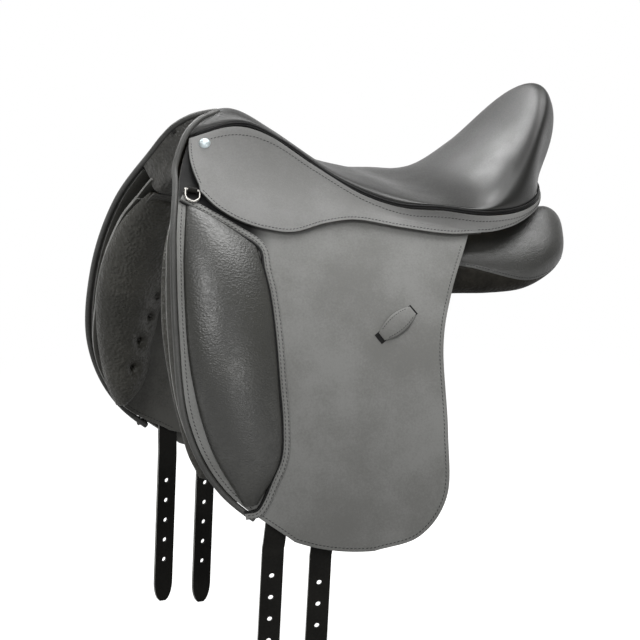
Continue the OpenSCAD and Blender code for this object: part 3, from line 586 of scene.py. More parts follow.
def laid_grid(name, columns, rows, place):
    """A grid with points set by place(across, down), both from 0 to 1; near pieces face outwards."""
    piece = started(bpy.ops.mesh.primitive_grid_add, x_subdivisions=columns, y_subdivisions=rows, size=1)
    piece.name = piece.data.name = name
    for point in piece.data.vertices:
        point.co = place(point.co.x + 0.5, 0.5 - point.co.y) * MM
    bpy.ops.object.shade_smooth()
    return piece


def cut_leather(piece, thick, round_off=0.6):
    """Gives a sheet its thickness inwards, with a rim of its own finish and softened edges."""
    worked(
        piece, "SOLIDIFY", thickness=thick * MM, offset=-1, use_even_offset=True, use_rim=True,
        material_offset_rim=1,
    )
    worked(
        piece, "BEVEL", width=round_off * MM, segments=2, limit_method="ANGLE",
        angle_limit=math.radians(RIM_ANGLE), use_clamp_overlap=True,
    )
    return smoothed(piece, CREASE_ANGLE)


def cut_sheet(name, columns, rows, place, finish, edge, thick, round_off):
    """A laid grid with its finish and rim, cut from leather or tape."""
    piece = coated(laid_grid(name, columns, rows, place), finish, edge)
    return cut_leather(piece, thick, round_off)


def stuffed(name, columns, rows, outer, inner):
    """A closed cushion of two grids that share their border."""
    front = laid_grid(name, columns, rows, outer)
    back = laid_grid(name + "_back", columns, rows, inner)
    back.data.flip_normals()
    bpy.ops.object.select_all(action="DESELECT")
    back.select_set(True)
    front.select_set(True)
    bpy.context.view_layer.objects.active = front
    bpy.ops.object.join()
    bpy.ops.object.mode_set(mode="EDIT")
    bpy.ops.mesh.select_all(action="SELECT")
    bpy.ops.mesh.remove_doubles(threshold=WELD * MM)
    bpy.ops.object.mode_set(mode="OBJECT")
    return front


def cord_piece(name, path, radius):
    """A round cord along a path of points, as a mesh with closed ends."""
    line = bpy.data.curves.new(name, "CURVE")
    line.dimensions = "3D"
    line.bevel_depth = radius * MM
    line.bevel_resolution = 4
    line.use_fill_caps = True
    run = line.splines.new("POLY")
    run.points.add(len(path) - 1)
    for knot, at in zip(run.points, path):
        knot.co = (at * MM).to_4d()
    piece = bpy.data.objects.new(name, line)
    bpy.context.collection.objects.link(piece)
    alone(piece)
    bpy.ops.object.convert(target="MESH")
    return smoothed(bpy.context.object, CORD_CREASE)


def spread(path, pitch):
    """Places, directions and normals at an even pitch along a path of (place, normal) pairs."""
    spots = []
    due = pitch * 0.5
    walked = 0.0
    for (a, a_out), (b, b_out) in zip(path, path[1:]):
        step = (b - a).length
        while step > 0 and walked + step >= due:
            t = (due - walked) / step
            spots.append((mix(a, b, t), (b - a).normalized(), mix(a_out, b_out, t).normalized()))
            due += pitch
        walked += step
    return spots


def stitch_row(name, paths, finish, pitch=4.4, length=3.3, width=0.9, slant=0.18):
    """Rows of thread: one stitch is modelled and copied along each path of (place, normal) pairs."""
    pattern = started(bpy.ops.mesh.primitive_uv_sphere_add, segments=6, ring_count=4, radius=1)
    knots = [Vector(point.co) for point in pattern.data.vertices]
    faces = [tuple(face.vertices) for face in pattern.data.polygons]
    bpy.data.objects.remove(pattern, do_unlink=True)
    points = []
    sides = []
    for path in paths:
        for at, run, out in spread(path, pitch):
            across = out.cross(run).normalized()
            lie = (run + across * slant).normalized()
            side = out.cross(lie).normalized()
            first = len(points)
            for knot in knots:
                arch = -0.25 * knot.z * knot.z
                shift = lie * knot.z * length * 0.5 + side * knot.x * width * 0.5
                points.append((at + shift + out * (knot.y + arch) * width * 0.4) * MM)
            sides.extend([tuple(i + first for i in face) for face in faces])
    mesh = bpy.data.meshes.new(name)
    mesh.from_pydata(points, [], sides)
    piece = bpy.data.objects.new(name, mesh)
    bpy.context.collection.objects.link(piece)
    alone(piece)
    bpy.ops.object.mode_set(mode="EDIT")
    bpy.ops.mesh.select_all(action="SELECT")
    bpy.ops.mesh.normals_make_consistent(inside=False)
    bpy.ops.object.mode_set(mode="OBJECT")
    bpy.ops.object.shade_smooth()
    piece.data.materials.append(finish)
    return piece


def off_copy(piece):
    """The mirror image of a near piece, with its own mesh."""
    twin = piece.copy()
    twin.data = piece.data.copy()
    twin.name = twin.data.name = piece.name.replace("near_", "off_", 1)
    bpy.context.collection.objects.link(twin)
    for point in twin.data.vertices:
        point.co.y = -point.co.y
    twin.data.flip_normals()
    return twin


def paint_shadow(piece, shade):
    """Stores how much painted shadow darkens a laid grid, place by place, from shade(across, down)."""
    kept = piece.data.attributes.new("patch_shadow", "FLOAT", "POINT").data
    spots = piece.data.uv_layers[0].data
    for loop in piece.data.loops:
        spot = spots[loop.index].uv
        kept[loop.vertex_index].value = shade(spot.x, 1 - spot.y)
    return piece


def coated(piece, *finishes):
    """Gives a piece its finishes: the first on its faces, the second on a cut rim."""
    piece.data.materials.clear()
    for finish in finishes:
        piece.data.materials.append(finish)
    return piece


def settle(piece, body, stands_for=(), bend=None):
    """Puts a piece on its body, or, when bend ends are given, bakes it where it lies on no body; hides the
    parts it stands for.
    """
    if bend:
        start, end = bend
        start * MM
        end * MM
        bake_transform(piece)
    else:
        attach(piece, body)
    if stands_for:
        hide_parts(*stands_for)
    return piece


def settle_both(piece, body, stands_for=(), bend=None):
    """Settles a near piece and its mirror image; body and node names are given without their side."""
    twin = off_copy(piece)
    twin_bend = bend and [off_side(p) for p in bend]
    for side, one, turned in (("near", piece, bend), ("off", twin, twin_bend)):
        whose = body if body == "frame" else f"{side}_{body}"
        settle(one, whose, [f"{side}_{node}" for node in stands_for], turned)
    return piece


# Finishes


class Field:
    """A shader value that adds, subtracts and multiplies like a number."""

    def __init__(self, finish, socket):
        self.finish = finish
        self.socket = socket

    def worked(self, operation, other, swapped=False):
        pair = (other, self) if swapped else (self, other)
        made = self.finish.node("ShaderNodeMath", {0: pair[0], 1: pair[1]}, operation=operation)
        return Field(self.finish, made.outputs[0])

    def __add__(self, other):
        return self.worked("ADD", other)

    def __radd__(self, other):
        return self.worked("ADD", other, True)

    def __sub__(self, other):
        return self.worked("SUBTRACT", other)

    def __rsub__(self, other):
        return self.worked("SUBTRACT", other, True)

    def __mul__(self, other):
        return self.worked("MULTIPLY", other)

    def __rmul__(self, other):
        return self.worked("MULTIPLY", other, True)


class Nodes:
    """A node tree that starts empty, and the nodes that finishes and sky share."""

    def __init__(self, tree):
        self.tree = tree
        tree.nodes.clear()

    def node(self, kind, inputs=None, **settings):
        made = self.tree.nodes.new(kind)
        for key, value in settings.items():
            setattr(made, key, value)
        for key, value in (inputs or {}).items():
            self.feed(made.inputs[key], value)
        return made

    def feed(self, socket, value):
        if isinstance(value, Field):
            self.tree.links.new(value.socket, socket)
        elif isinstance(value, bpy.types.NodeSocket):
            self.tree.links.new(value, socket)
        else:
            socket.default_value = value

    def ranged(self, value, low, high, to_low=0.0, to_high=1.0):
        made = self.node(
            "ShaderNodeMapRange",
            {"Value": value, "From Min": low, "From Max": high, "To Min": to_low, "To Max": to_high},
            interpolation_type="SMOOTHSTEP",
        )
        return Field(self, made.outputs["Result"])

    def background_rays(self, share):
        """1 for what the camera sees, and a share of that for what is mirrored or seen through."""
        ray = self.node("ShaderNodeLightPath")
        camera_ray = Field(self, ray.outputs["Is Camera Ray"])
        mirror_ray = Field(self, ray.outputs["Is Glossy Ray"])
        clear_ray = Field(self, ray.outputs["Is Transmission Ray"])
        return camera_ray.worked("MAXIMUM", mirror_ray.worked("MAXIMUM", clear_ray) * share)


class Finish(Nodes):
    """A material with a principled shader and the textures that its finishes share."""

    def __init__(self, name):
        self.material = bpy.data.materials.new(name)
        self.material.use_nodes = True
        super().__init__(self.material.node_tree)
        self.shader = self.node("ShaderNodeBsdfPrincipled")
        self.output = self.node("ShaderNodeOutputMaterial", {"Surface": self.shader.outputs["BSDF"]})
        self.place = self.node("ShaderNodeTexCoord").outputs["Object"]

    def shade(self, socket, value):
        self.feed(self.shader.inputs[socket], value)

    def stretched(self, scale):
        made = self.node("ShaderNodeMapping", {"Vector": self.place, "Scale": scale})
        return made.outputs["Vector"]

    def noise(self, scale, detail=3.0, rough=0.55, place=None):
        made = self.node(
            "ShaderNodeTexNoise",
            {"Vector": place or self.place, "Scale": scale, "Detail": detail, "Roughness": rough},
        )
        return Field(self, made.outputs["Fac"])

    def cells(self, scale, place=None, feature="SMOOTH_F1"):
        made = self.node(
            "ShaderNodeTexVoronoi", {"Vector": place or self.place, "Scale": scale}, feature=feature,
        )
        return Field(self, made.outputs["Distance"])

    def blended(self, share, first, second):
        made = self.node("ShaderNodeMix", {"Factor": share}, data_type="RGBA")
        self.feed(made.inputs[6], first)
        self.feed(made.inputs[7], second)
        return Field(self, made.outputs[2])

    def bumped(self, height, distance, strength=1.0):
        made = self.node("ShaderNodeBump", {"Height": height, "Distance": distance, "Strength": strength})
        self.shade("Normal", Field(self, made.outputs["Normal"]))


def tone(red, green=None, blue=None):
    return (red, red if green is None else green, red if blue is None else blue, 1.0)


def leather(
    name, light, dark, rough, pebble, depth, mottle=11.0, shine=0.5, stretch=(1, 1, 1), wrinkle=0.3,
    patch_shadow=None,
):
    """Hide with a cloudy colouring, pebbles of a given count to the metre, and creases between them. A
    last colour, when given, is painted shadow, laid on by the share that the mesh stores.
    """
    finish = Finish(name)
    laid = finish.stretched(stretch)
    cloud = finish.noise(mottle, 5.0, 0.6)
    speck = finish.noise(pebble * 0.4, 2.0, 0.5)
    pebbles = finish.cells(pebble, laid)
    fine = finish.noise(pebble * 2.3, 2.0, 0.6)
    crease = finish.noise(pebble * 0.22, 4.0, 0.62, laid)
    share = finish.ranged(cloud * 0.75 + speck * 0.25, 0.36, 0.64)
    colour = finish.blended(share, dark, light)
    # Painted shadow: the given colour is blended in by the share that the mesh stores
    if patch_shadow:
        shadow_share = finish.node("ShaderNodeAttribute", attribute_name="patch_shadow").outputs["Fac"]
        colour = finish.blended(shadow_share, colour, patch_shadow)
    finish.shade("Base Color", colour)
    worn = finish.ranged(cloud * 0.6 + speck * 0.4, 0.35, 0.65, rough + 0.07, rough - 0.07)
    finish.shade("Roughness", worn + pebbles * 0.12)
    finish.bumped((1.0 - pebbles) * 0.62 + fine * 0.14 + crease * wrinkle, depth)
    finish.shade("Specular IOR Level", shine)
    return finish.material


def metal(name, colour, rough, brushed):
    """Polished or drawn metal with faint handling marks."""
    finish = Finish(name)
    cloud = finish.noise(60.0, 4.0, 0.6)
    drawn = finish.noise(900.0, 2.0, 0.5, finish.stretched((1.0, 0.1, 1.0)))
    finish.shade("Roughness", rough + (cloud - 0.5) * 0.12)
    finish.shade("Base Color", colour)
    finish.shade("Metallic", 1.0)
    finish.bumped(drawn, brushed)
    return finish.material


def webbing(name, light, dark):
    """Woven tape: small cells in rows, with a matt pale thread."""
    finish = Finish(name)
    rows = finish.node(
        "ShaderNodeTexWave", {"Vector": finish.place, "Scale": 220.0, "Distortion": 1.2},
        bands_direction="DIAGONAL",
    )
    weave = Field(finish, rows.outputs["Fac"])
    cloud = finish.noise(40.0, 3.0)
    finish.shade("Base Color", finish.blended(weave * 0.7 + cloud * 0.3, dark, light))
    finish.shade("Roughness", 0.9)
    finish.bumped(weave, 0.0004)
    return finish.material


def plywood(name, light, dark):
    """Laminated beech: long soft figure over thin layers."""
    finish = Finish(name)
    figure = finish.noise(60.0, 4.0, 0.6, finish.stretched((0.15, 1.0, 1.0)))
    layer = finish.noise(500.0, 1.0, 0.4, finish.stretched((0.05, 0.05, 1.0)))
    finish.shade("Base Color", finish.blended(figure * 0.6 + layer * 0.4, dark, light))
    finish.shade("Roughness", 0.45 + figure * 0.2)
    finish.bumped(figure, 0.0002)
    return finish.material


def thread(name, colour, rough):
    finish = Finish(name)
    twist = finish.noise(2600.0, 2.0)
    finish.shade("Base Color", finish.blended(twist, tone(0.004), colour))
    finish.shade("Roughness", rough)
    finish.bumped(twist, 0.0001)
    return finish.material


# The flap's last colour is painted shadow from the skirt, laid on the patch in front of the block's band
flap_hide = leather(
    "flap_hide", tone(0.215, 0.216, 0.208), tone(0.160, 0.160, 0.152), 0.60, 1150, 0.00013, shine=0.3,
    patch_shadow=tone(0.004),
)
skirt_hide = leather(
    "skirt_hide", tone(0.205, 0.205, 0.200), tone(0.168, 0.168, 0.162), 0.50, 1150, 0.00012, shine=0.3,
)
seat_hide = leather(
    "seat_hide", tone(0.016, 0.016, 0.0145), tone(0.010, 0.010, 0.009), 0.36, 1300, 0.00010, shine=0.5,
)
knee_hide = leather(
    "knee_hide", tone(0.034, 0.034, 0.029), tone(0.016, 0.016, 0.013), 0.38, 460, 0.0006, mottle=16,
    shine=0.9, stretch=(0.8, 0.8, 1.2), wrinkle=0.1,
)
pad_hide = leather(
    "pad_hide", tone(0.044, 0.042, 0.033), tone(0.022, 0.021, 0.015), 0.42, 300, 0.0025, mottle=14,
    shine=0.6,
)
strip_hide = leather(
    "strip_hide", tone(0.017, 0.015, 0.011), tone(0.008, 0.007, 0.005), 0.50, 300, 0.0012, mottle=14,
    shine=0.15,
)
panel_hide = leather(
    "panel_hide", tone(0.028, 0.028, 0.025), tone(0.014, 0.014, 0.012), 0.40, 650, 0.0004, shine=0.9,
    wrinkle=0.2,
)
facing_hide = leather(
    "facing_hide", tone(0.048, 0.046, 0.038), tone(0.022, 0.021, 0.017), 0.42, 300, 0.0025, shine=0.7,
)
sweat_hide = leather(
    "sweat_hide", tone(0.100, 0.099, 0.090), tone(0.060, 0.059, 0.052), 0.55, 1000, 0.00016,
)
strap_hide = leather(
    "strap_hide", tone(0.012, 0.0115, 0.010), tone(0.006, 0.0058, 0.005), 0.55, 1000, 0.00016, shine=0.12,
)
binding_hide = leather(
    "binding_hide", tone(0.070, 0.070, 0.066), tone(0.040, 0.040, 0.037), 0.42, 1200, 0.00010,
)
piping_hide = leather("piping_hide", tone(0.005), tone(0.003), 0.45, 1200, 0.00008, shine=0.2)
cut_edge = leather(
    "cut_edge", tone(0.33, 0.33, 0.315), tone(0.20, 0.20, 0.19), 0.62, 1600, 0.0002, mottle=60,
)
dark_edge = leather(
    "dark_edge", tone(0.10, 0.10, 0.095), tone(0.05, 0.05, 0.046), 0.5, 1600, 0.0002, mottle=60,
)
black_thread = thread("black_thread", tone(0.012), 0.6)
chrome = metal("chrome", tone(0.34, 0.33, 0.31), 0.26, 0.00001)
stud_face = metal("stud_face", tone(0.62, 0.69, 0.71), 0.55, 0.00001)
steel = metal("steel", tone(0.52, 0.53, 0.54), 0.34, 0.00003)
tree_wood = plywood("tree_wood", tone(0.55, 0.36, 0.19), tone(0.36, 0.21, 0.10))
tape = webbing("tape", tone(0.62, 0.58, 0.48), tone(0.40, 0.37, 0.29))

foam_finish = Finish("seat_foam_cells")
foam_cells = foam_finish.cells(420.0)
foam_dye = foam_finish.blended(foam_cells, tone(0.62, 0.55, 0.32), tone(0.45, 0.38, 0.20))
foam_finish.shade("Base Color", foam_dye)
foam_finish.shade("Roughness", 0.95)
foam_finish.bumped(foam_cells, 0.0006)

for name, finish in {
    "tree_head": tree_wood, "near_tree_point": tree_wood, "off_tree_point": tree_wood,
    "near_tree_rail": tree_wood, "off_tree_rail": tree_wood, "tree_cantle": tree_wood,
    "gullet_plate": steel, "gullet_rivets": steel, "near_stirrup_bar": steel, "off_stirrup_bar": steel,
    "near_bar_catch": steel, "off_bar_catch": steel, "catch_pins": steel,
    "near_dee_ring": chrome, "off_dee_ring": chrome, "pommel_studs": stud_face,
    "near_dee_tab": strap_hide, "off_dee_tab": strap_hide,
}.items():
    coated(nodes[name], finish)


# Seat, foam and webs


def seat_cover_point(across, down):
    """The seat's face, with its edge turned down behind the piping."""
    u = min(max((1 - 2 * down) * (1 + EDGE_TURN), -1), 1)
    turned = max(abs(1 - 2 * down) * (1 + EDGE_TURN) - 1, 0) / EDGE_TURN
    start = SEAT_START * (1 - smooth(*SEAT_START_FADE, abs(u)))
    p = seat_point(mix(start, 1, across), u)
    p -= SEAT_FRONT_PULL * smooth(*PULL_ACROSS, abs(u)) * (1 - smooth(*PULL_ALONG, across))
    if turned > 0:
        _, under, out = welt_frame(across)
        tuck = under * EDGE_UNDER * turned - out * EDGE_IN * turned
        p = p + (tuck if u < 0 else off_side(tuck))
    return p


seat = cut_sheet("seat_cover_leather", 120, 72, seat_cover_point, seat_hide, piping_hide, SEAT_THICK, 0.5)
settle(seat, "frame", ["seat_cover"])


def foam_top(across, down):
    v = mix(FOAM_FROM, FOAM_TO, across)
    u = INSIDE_EDGE * (1 - 2 * down)
    along = seat_point(v + 0.01, u) - seat_point(v - 0.01, u)
    over = seat_point(v, u + 0.01) - seat_point(v, u - 0.01)
    border = min(hump(across, 0.3), hump(down, 0.3))
    top = seat_point(v, u) - along.cross(over).normalized() * FOAM_DEPTH
    return mix(foam_bottom(across, down), top, border)


def foam_bottom(across, down):
    v = mix(FOAM_FROM, FOAM_TO, across)
    return seat_inside(v, INSIDE_EDGE * (1 - 2 * down), FOAM_DEPTH + FOAM_THICK)


foam = stuffed("seat_foam_block", 60, 36, foam_top, foam_bottom)
coated(foam, foam_finish.material)
settle(foam, "frame", ["seat_foam"])


def seat_web_point(across, down):
    return seat_inside(mix(*SEAT_WEB_SPAN, across), SEAT_WEB_HALF * (1 - 2 * down), SEAT_WEB_DEPTH)


seat_tape = cut_sheet("seat_web_tape", 40, 10, seat_web_point, tape, tape, WEB_THICK, 0.3)
settle(seat_tape, "frame", ["seat_web"])


def level_step(d):
    """A step across a strap or web that keeps square to its hanging line."""
    lean = SIDE_FALL - STRAP_LEAN
    return Vector((math.cos(lean), -math.sin(lean) / math.cos(SIDE_SLOPE - d / SIDE_RADIUS)))


def web_run(station, x, half):
    """Half of a girth web's path, from its low end on the near side to the middle of the seat."""
    path = []
    for d in WEB_FALL:
        p = Vector((x, d)) + level_step(d) * half
        path.append(wrap(p.x, p.y, STRAP_OUT - WEB_IN))
    for i in range(8):
        path.append(seat_inside(station + half / SEAT_RUN, -INSIDE_EDGE * (1 - i / 7), WEB_DEPTH))
    return path


for which in ("front", "rear"):
    name = which + "_girth_web"

    def web_point(across, down, which=which):
        path = web_run(WEB_STATION[which], STRAP_TOP_X[which], WEB_WIDTH * (across - 0.5))
        half = curve(path, 2 * down if down <= 0.5 else 2 - 2 * down)
        return half if down <= 0.5 else off_side(half)

    girth_tape = cut_sheet(name + "_tape", 8, 90, web_point, tape, tape, WEB_THICK, 0.3)
    settle(girth_tape, "frame", [name])


# Welt: two thin cords side by side round the seat

for name, across in PIPING_ROWS.items():
    path = []
    for i in range(121):
        at, down, out = welt_frame(mix(PIPING_START, 1, i / 120))
        path.append(at + down * across - out * PIPING_IN)
    path += [off_side(p) for p in reversed(path[:-1])]
    piping = cord_piece("seat_piping_" + name, path, PIPING_RADIUS)
    coated(piping, piping_hide)
    settle(piping, "frame", ["seat_welt"])


# Skirts


def close_row(share, rows, reach):
    """Rows that are even but for the first, which keeps the rounding of a hidden edge to a hair."""
    if share * rows <= 1:
        return share * rows * EDGE_ROW / reach
    return mix(EDGE_ROW / reach, 1, (share * rows - 1) / (rows - 1))


def skirt_point(across, down):
    reach = (curve(SKIRT_FOOT, across) - curve(SKIRT_TOP, across)).length
    lap = SKIRT_LAP * (1 - smooth(*SKIRT_LAP_END, across)) / reach
    return skirt_upper(across, (1 - close_row(1 - down, SKIRT_ROWS, reach)) * (1 + lap))


skirt = cut_sheet(
    "near_skirt_leather", SKIRT_COLUMNS, SKIRT_ROWS, skirt_point,
    skirt_hide, dark_edge, SKIRT_THICK, 0.8,
)
settle_both(skirt, "frame", ["skirt"])


def skirt_lobe_point(across, down):
    column = across * LOBE_COLUMNS
    depth = (lobe_point(column, 1) - lobe_point(column, 0)).length
    share = close_row(down, LOBE_ROWS, depth + SKIRT_LAP) if depth > 2 else down
    return lobe_point(column, mix(-SKIRT_LAP / max(depth, 4), 1, share))


lobe = cut_sheet(
    "near_skirt_lobe_leather", LOBE_COLUMNS, LOBE_ROWS, skirt_lobe_point,
    skirt_hide, dark_edge, SKIRT_THICK, 0.8,
)
settle_both(lobe, "skirt_body", ["skirt_lobe"])


# Flaps

flap_bend = (wrap(0, FOLD - FLAP_BEND, FLAP_OUT), wrap(0, FOLD + FLAP_BEND, FLAP_OUT))


def window_cutter(name):
    at, along, up, out = side_axes(BAR_X, BAR_D, 0)
    cutter = started(bpy.ops.mesh.primitive_cube_add, size=1)
    cutter.name = name
    turn = Matrix((along, up, out)).transposed().to_4x4()
    middle = at + along * (BAR_WINDOW.x / 2 + BAR_WINDOW_AHEAD) + up * (BAR_WINDOW.y / 2 + BAR_WINDOW_UP)
    for point in cutter.data.vertices:
        corner = Vector([share * size for share, size in zip(point.co, BAR_WINDOW)])
        point.co = (middle + turn @ corner) * MM
    return worked(
        cutter, "BEVEL", width=BAR_WINDOW_ROUND * MM, segments=4, limit_method="ANGLE",
        angle_limit=math.radians(60),
    )


def cut_window(piece):
    cut_out(piece, window_cutter(piece.name + "_window"))
    smoothed(piece, CREASE_ANGLE)


flap = laid_grid("near_flap_leather", 90, 110, flap_point)
coated(flap, flap_hide, cut_edge)


def flap_painted_shadow(across, down):
    """How much painted shadow from the skirt darkens the smooth patch between binding, skirt and block's
    band.
    """
    row = max(down - FLAP_TOP_ROWS, 0) / (1 - FLAP_TOP_ROWS)
    at = side_place(FLAP_FRONT, FLAP_REAR, across, row, FLAP_SAG)
    front, rear = PATCH_LINE
    above = mix(front.y, rear.y, (at.x - front.x) / (rear.x - front.x)) - at.y
    return smooth(-2, 2, above) * (1 - smooth(*PATCH_SHADOW_FADE, at.x))


# Paints the skirt's shadow onto the patch in front of the block's band
paint_shadow(flap, flap_painted_shadow)
cut_leather(flap, FLAP_THICK, 0.5)
cut_window(flap)
settle_both(flap, "flap_body", ["flap", "flap_top"], bend=flap_bend)


def backing_point(across, down):
    u = mix(*BACKING_ACROSS, across)
    v = mix(*BACKING_DOWN, down)
    p = side_place(FLAP_FRONT, FLAP_REAR, u, v, FLAP_SAG)
    return wrap(p.x, p.y, BACKING_OUT)


backing = cut_sheet(
    "near_flap_lining", 60, 80, backing_point, sweat_hide, cut_edge, BACKING_THICK, 0.5,
)
cut_window(backing)
settle_both(backing, "flap_body", ["flap_backing"])

binding_path = [pommel_line(1 - i / 60) for i in range(61)]
for i in range(1, 91):
    v = mix(0.0, BINDING_END, i / 90)
    p = curve(FLAP_FRONT, v)
    binding_path.append(wrap(p.x - BINDING_OUT, p.y + BINDING_OUT * v, BINDING_LAYER))
binding = cord_piece("near_front_binding", binding_path, BINDING_RADIUS)
coated(binding, binding_hide)
settle_both(binding, "flap_body", ["flap_binding"], bend=flap_bend)
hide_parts("pommel_binding")


# Knee blocks


def block_place(u, v):
    return side_place(BLOCK_FRONT, BLOCK_REAR, u, v)


def block_rise(u, v):
    """Steep at the front edge, fullest over the thigh's hollow, easy towards the stitching at the rear."""
    side = math.sin(math.pi / 2 * min(u / BLOCK_PEAK, 1.0)) ** BLOCK_FRONT_ROUND
    if u > BLOCK_PEAK:
        side = math.cos(math.pi / 2 * (u - BLOCK_PEAK) / (1 - BLOCK_PEAK)) ** BLOCK_REAR_ROUND
    ends = hump(0.02 + 0.96 * v, BLOCK_END_ROUND)
    return side * ends


def block_face(u, v):
    p = block_place(u, v)
    return wrap(p.x, p.y, FLAP_OUT + BLOCK_LIFT + BLOCK_CROWN * block_rise(u, v))


def block_back(u, v):
    p = block_place(u, v)
    return wrap(p.x, p.y, FLAP_OUT + BLOCK_LIFT)


block = stuffed("near_knee_pad", 56, 90, block_face, block_back)
coated(block, knee_hide)
settle_both(block, "flap_body", ["knee_block"])

# A raised band with two rows of thread frames the block


def band_line(share):
    """The block's outline from the flap's front edge over the top, down the rear and under."""
    rear = [curve(BLOCK_REAR, i / 8) + Vector((2, 0)) for i in range(1, 8)]
    return curve(BAND_TOP + rear + BAND_LOW, share)


def band_point(share, across, lift):
    ahead = band_line(min(share + 0.004, 1.0)) - band_line(max(share - 0.004, 0.0))
    square = Vector((ahead.y, -ahead.x)).normalized()
    p = band_line(share) + square * across
    return wrap(p.x, p.y, FLAP_OUT + lift)


def band_face(across, down):
    side = 1 - 2 * down
    lift = BAND_LIFT + BAND_RISE * (1 - side ** 4) ** 0.5
    return band_point(across, BAND_MIDDLE + BAND_HALF * side, lift)


# A thin black cord along the band's inner edge is painted shadow: the dark shade line where the block
# meets the band
shade_line_path = [band_point(i / 160, SHADE_LINE_IN, SHADE_LINE_LIFT) for i in range(161)]
shade_line = cord_piece("near_block_seam", shade_line_path, SHADE_LINE_RADIUS)
coated(shade_line, piping_hide)
settle_both(shade_line, "flap_body")

band = cut_sheet("near_block_band", 140, 10, band_face, flap_hide, flap_hide, BAND_THICK, 0.2)
settle_both(band, "flap_body")


# Keeper


def keeper_place(along, high, lift):
    x = along * math.cos(KEEPER_TURN) - high * math.sin(KEEPER_TURN)
    y = along * math.sin(KEEPER_TURN) + high * math.cos(KEEPER_TURN)
    return wrap(KEEPER_X + x, KEEPER_D - y, FLAP_OUT + lift)


def keeper_point(across, down, lift=0.0):
    """The keeper's face: wide in the middle, narrower where its ends go into the flap."""
    along = mix(-1, 1, across)
    tall = mix(KEEPER_END, KEEPER_HEIGHT, 1 - along ** 2) / 2
    rise = KEEPER_LIFT + KEEPER_RISE * hump(across, 0.7) * (0.5 + 0.5 * hump(down, 0.5))
    return keeper_place(along * KEEPER_LENGTH / 2, mix(tall, -tall, down), rise + lift)


def slot_shade_point(across, down):
    """A black sheet under the keeper's ends, painted shadow in the openings they go into, the lower one
    wider open.
    """
    half = KEEPER_LENGTH / 2
    wide = KEEPER_END / 2 + SLOT_RIM
    along = mix(-half - SLOT_OPEN_LOW, half + SLOT_OPEN_HIGH, across)
    return keeper_place(along, mix(wide, -wide, down), SLOT_LIFT)


# Painted shadow: a thin black sheet shows at both ends of the keeper, where they go into the flap
slot_shade = cut_sheet("near_keeper_slots", 40, 12, slot_shade_point, piping_hide, piping_hide, SLOT_THICK, 0.1)
settle_both(slot_shade, "flap_body")

keeper = cut_sheet("near_keeper_leather", 40, 18, keeper_point, flap_hide, cut_edge, KEEPER_THICK, 0.4)
settle_both(keeper, "flap_body", ["keeper"])


# Sweat flaps, pads, panels and linings


def sweat_tuck(x, d):
    """How far the sweat flap's front part lies in against the pad."""
    line = curve(SWEAT_FRONT, (d - SWEAT_FRONT[0].y) / (SWEAT_FRONT[-1].y - SWEAT_FRONT[0].y))
    return SWEAT_TUCK * (1 - smooth(*TUCK_WIDTH, x - line.x)) * (1 - smooth(*TUCK_END, d))


def sweat_point(across, down):
    p = side_place(SWEAT_FRONT, SWEAT_REAR, across, down, FLAP_SAG)
    return wrap(p.x, p.y, SWEAT_OUT - sweat_tuck(p.x, p.y))


sweat = cut_sheet("near_sweat_leather", 60, 80, sweat_point, sweat_hide, cut_edge, SWEAT_THICK, 0.8)
settle_both(sweat, "frame", ["sweat_flap"])


def sweat_tab_point(across, down):
    """The folded upper end of the sweat flap's front edge."""
    narrow = 1 - TAB_NARROW * (1 - smooth(0.0, 0.2, down))
    x = mix(TAB_FRONT, mix(*TAB_REAR, down), across * narrow)
    return wrap(x, mix(*TAB_REACH, down), SWEAT_OUT + TAB_LIFT - SWEAT_TUCK)


tab = cut_sheet("near_sweat_tab", 12, 20, sweat_tab_point, sweat_hide, cut_edge, TAB_THICK, 0.9)
settle_both(tab, "frame")


def pad_tuft(u, v):
    """How deep the sewn tufts pull the pad in: each a small pit in a shallow dimple."""
    deep = 0
    for a, b in PAD_TUFTS:
        r = ((u - a) / TUFT_WIDE) ** 2 + ((v - b) / TUFT_TALL) ** 2
        deep = max(deep, DIMPLE_SHARE * math.exp(-r) + PIT_SHARE * math.exp(-PIT_SHARP * r))
    return deep


def pad_swell(u, v):
    return hump(u, PAD_ROUND_ACROSS) * hump(v, PAD_ROUND_DOWN)


def pad_outer(u, v):
    p = side_place(PAD_FRONT, PAD_REAR, u, v)
    return wrap(p.x, p.y, PAD_OUT + PAD_BACK * min(pad_swell(u, v) * 1.6, 1))


def pad_inner(u, v):
    p = side_place(PAD_FRONT, PAD_REAR, u, v)
    full = pad_swell(u, v)
    return wrap(p.x, p.y, PAD_OUT - PAD_FULL * full + TUFT_DEEP * pad_tuft(u, v) * min(full, 1))


pad = stuffed("near_front_pad", 60, 130, pad_outer, pad_inner)
coated(pad, pad_hide)
settle_both(pad, "frame", ["panel_pad"])


def squared(c):
    return math.copysign(abs(c) ** PANEL_SQUARE, c)


def panel_seam(across):
    """How far round the cushion, from its top outwards, the stitched join of its grained lower strip lies.
    """
    return mix(*SEAM_TURN, smooth(*SEAM_DROP, across))


def panel_point(across, share):
    s = curve(PANEL_STATIONS, across)
    if share < SEAM_ROW:
        down = panel_seam(across) * share / SEAM_ROW
    else:
        down = mix(panel_seam(across), 1, (share - SEAM_ROW) / (1 - SEAM_ROW))
    turn = 2 * math.pi * down
    groove = math.exp(-((down - panel_seam(across)) / GROOVE_WIDTH) ** 2)
    half = PANEL_THICK / 2 * s[3] - SEAM_GROOVE * groove * s[3]
    d = s[1] - s[2] * squared(math.cos(turn)) + PANEL_LEAN * s[3] * min(math.sin(turn), 0)
    return wrap(s[0], d, PANEL_MIDDLE + half * squared(math.sin(turn)))


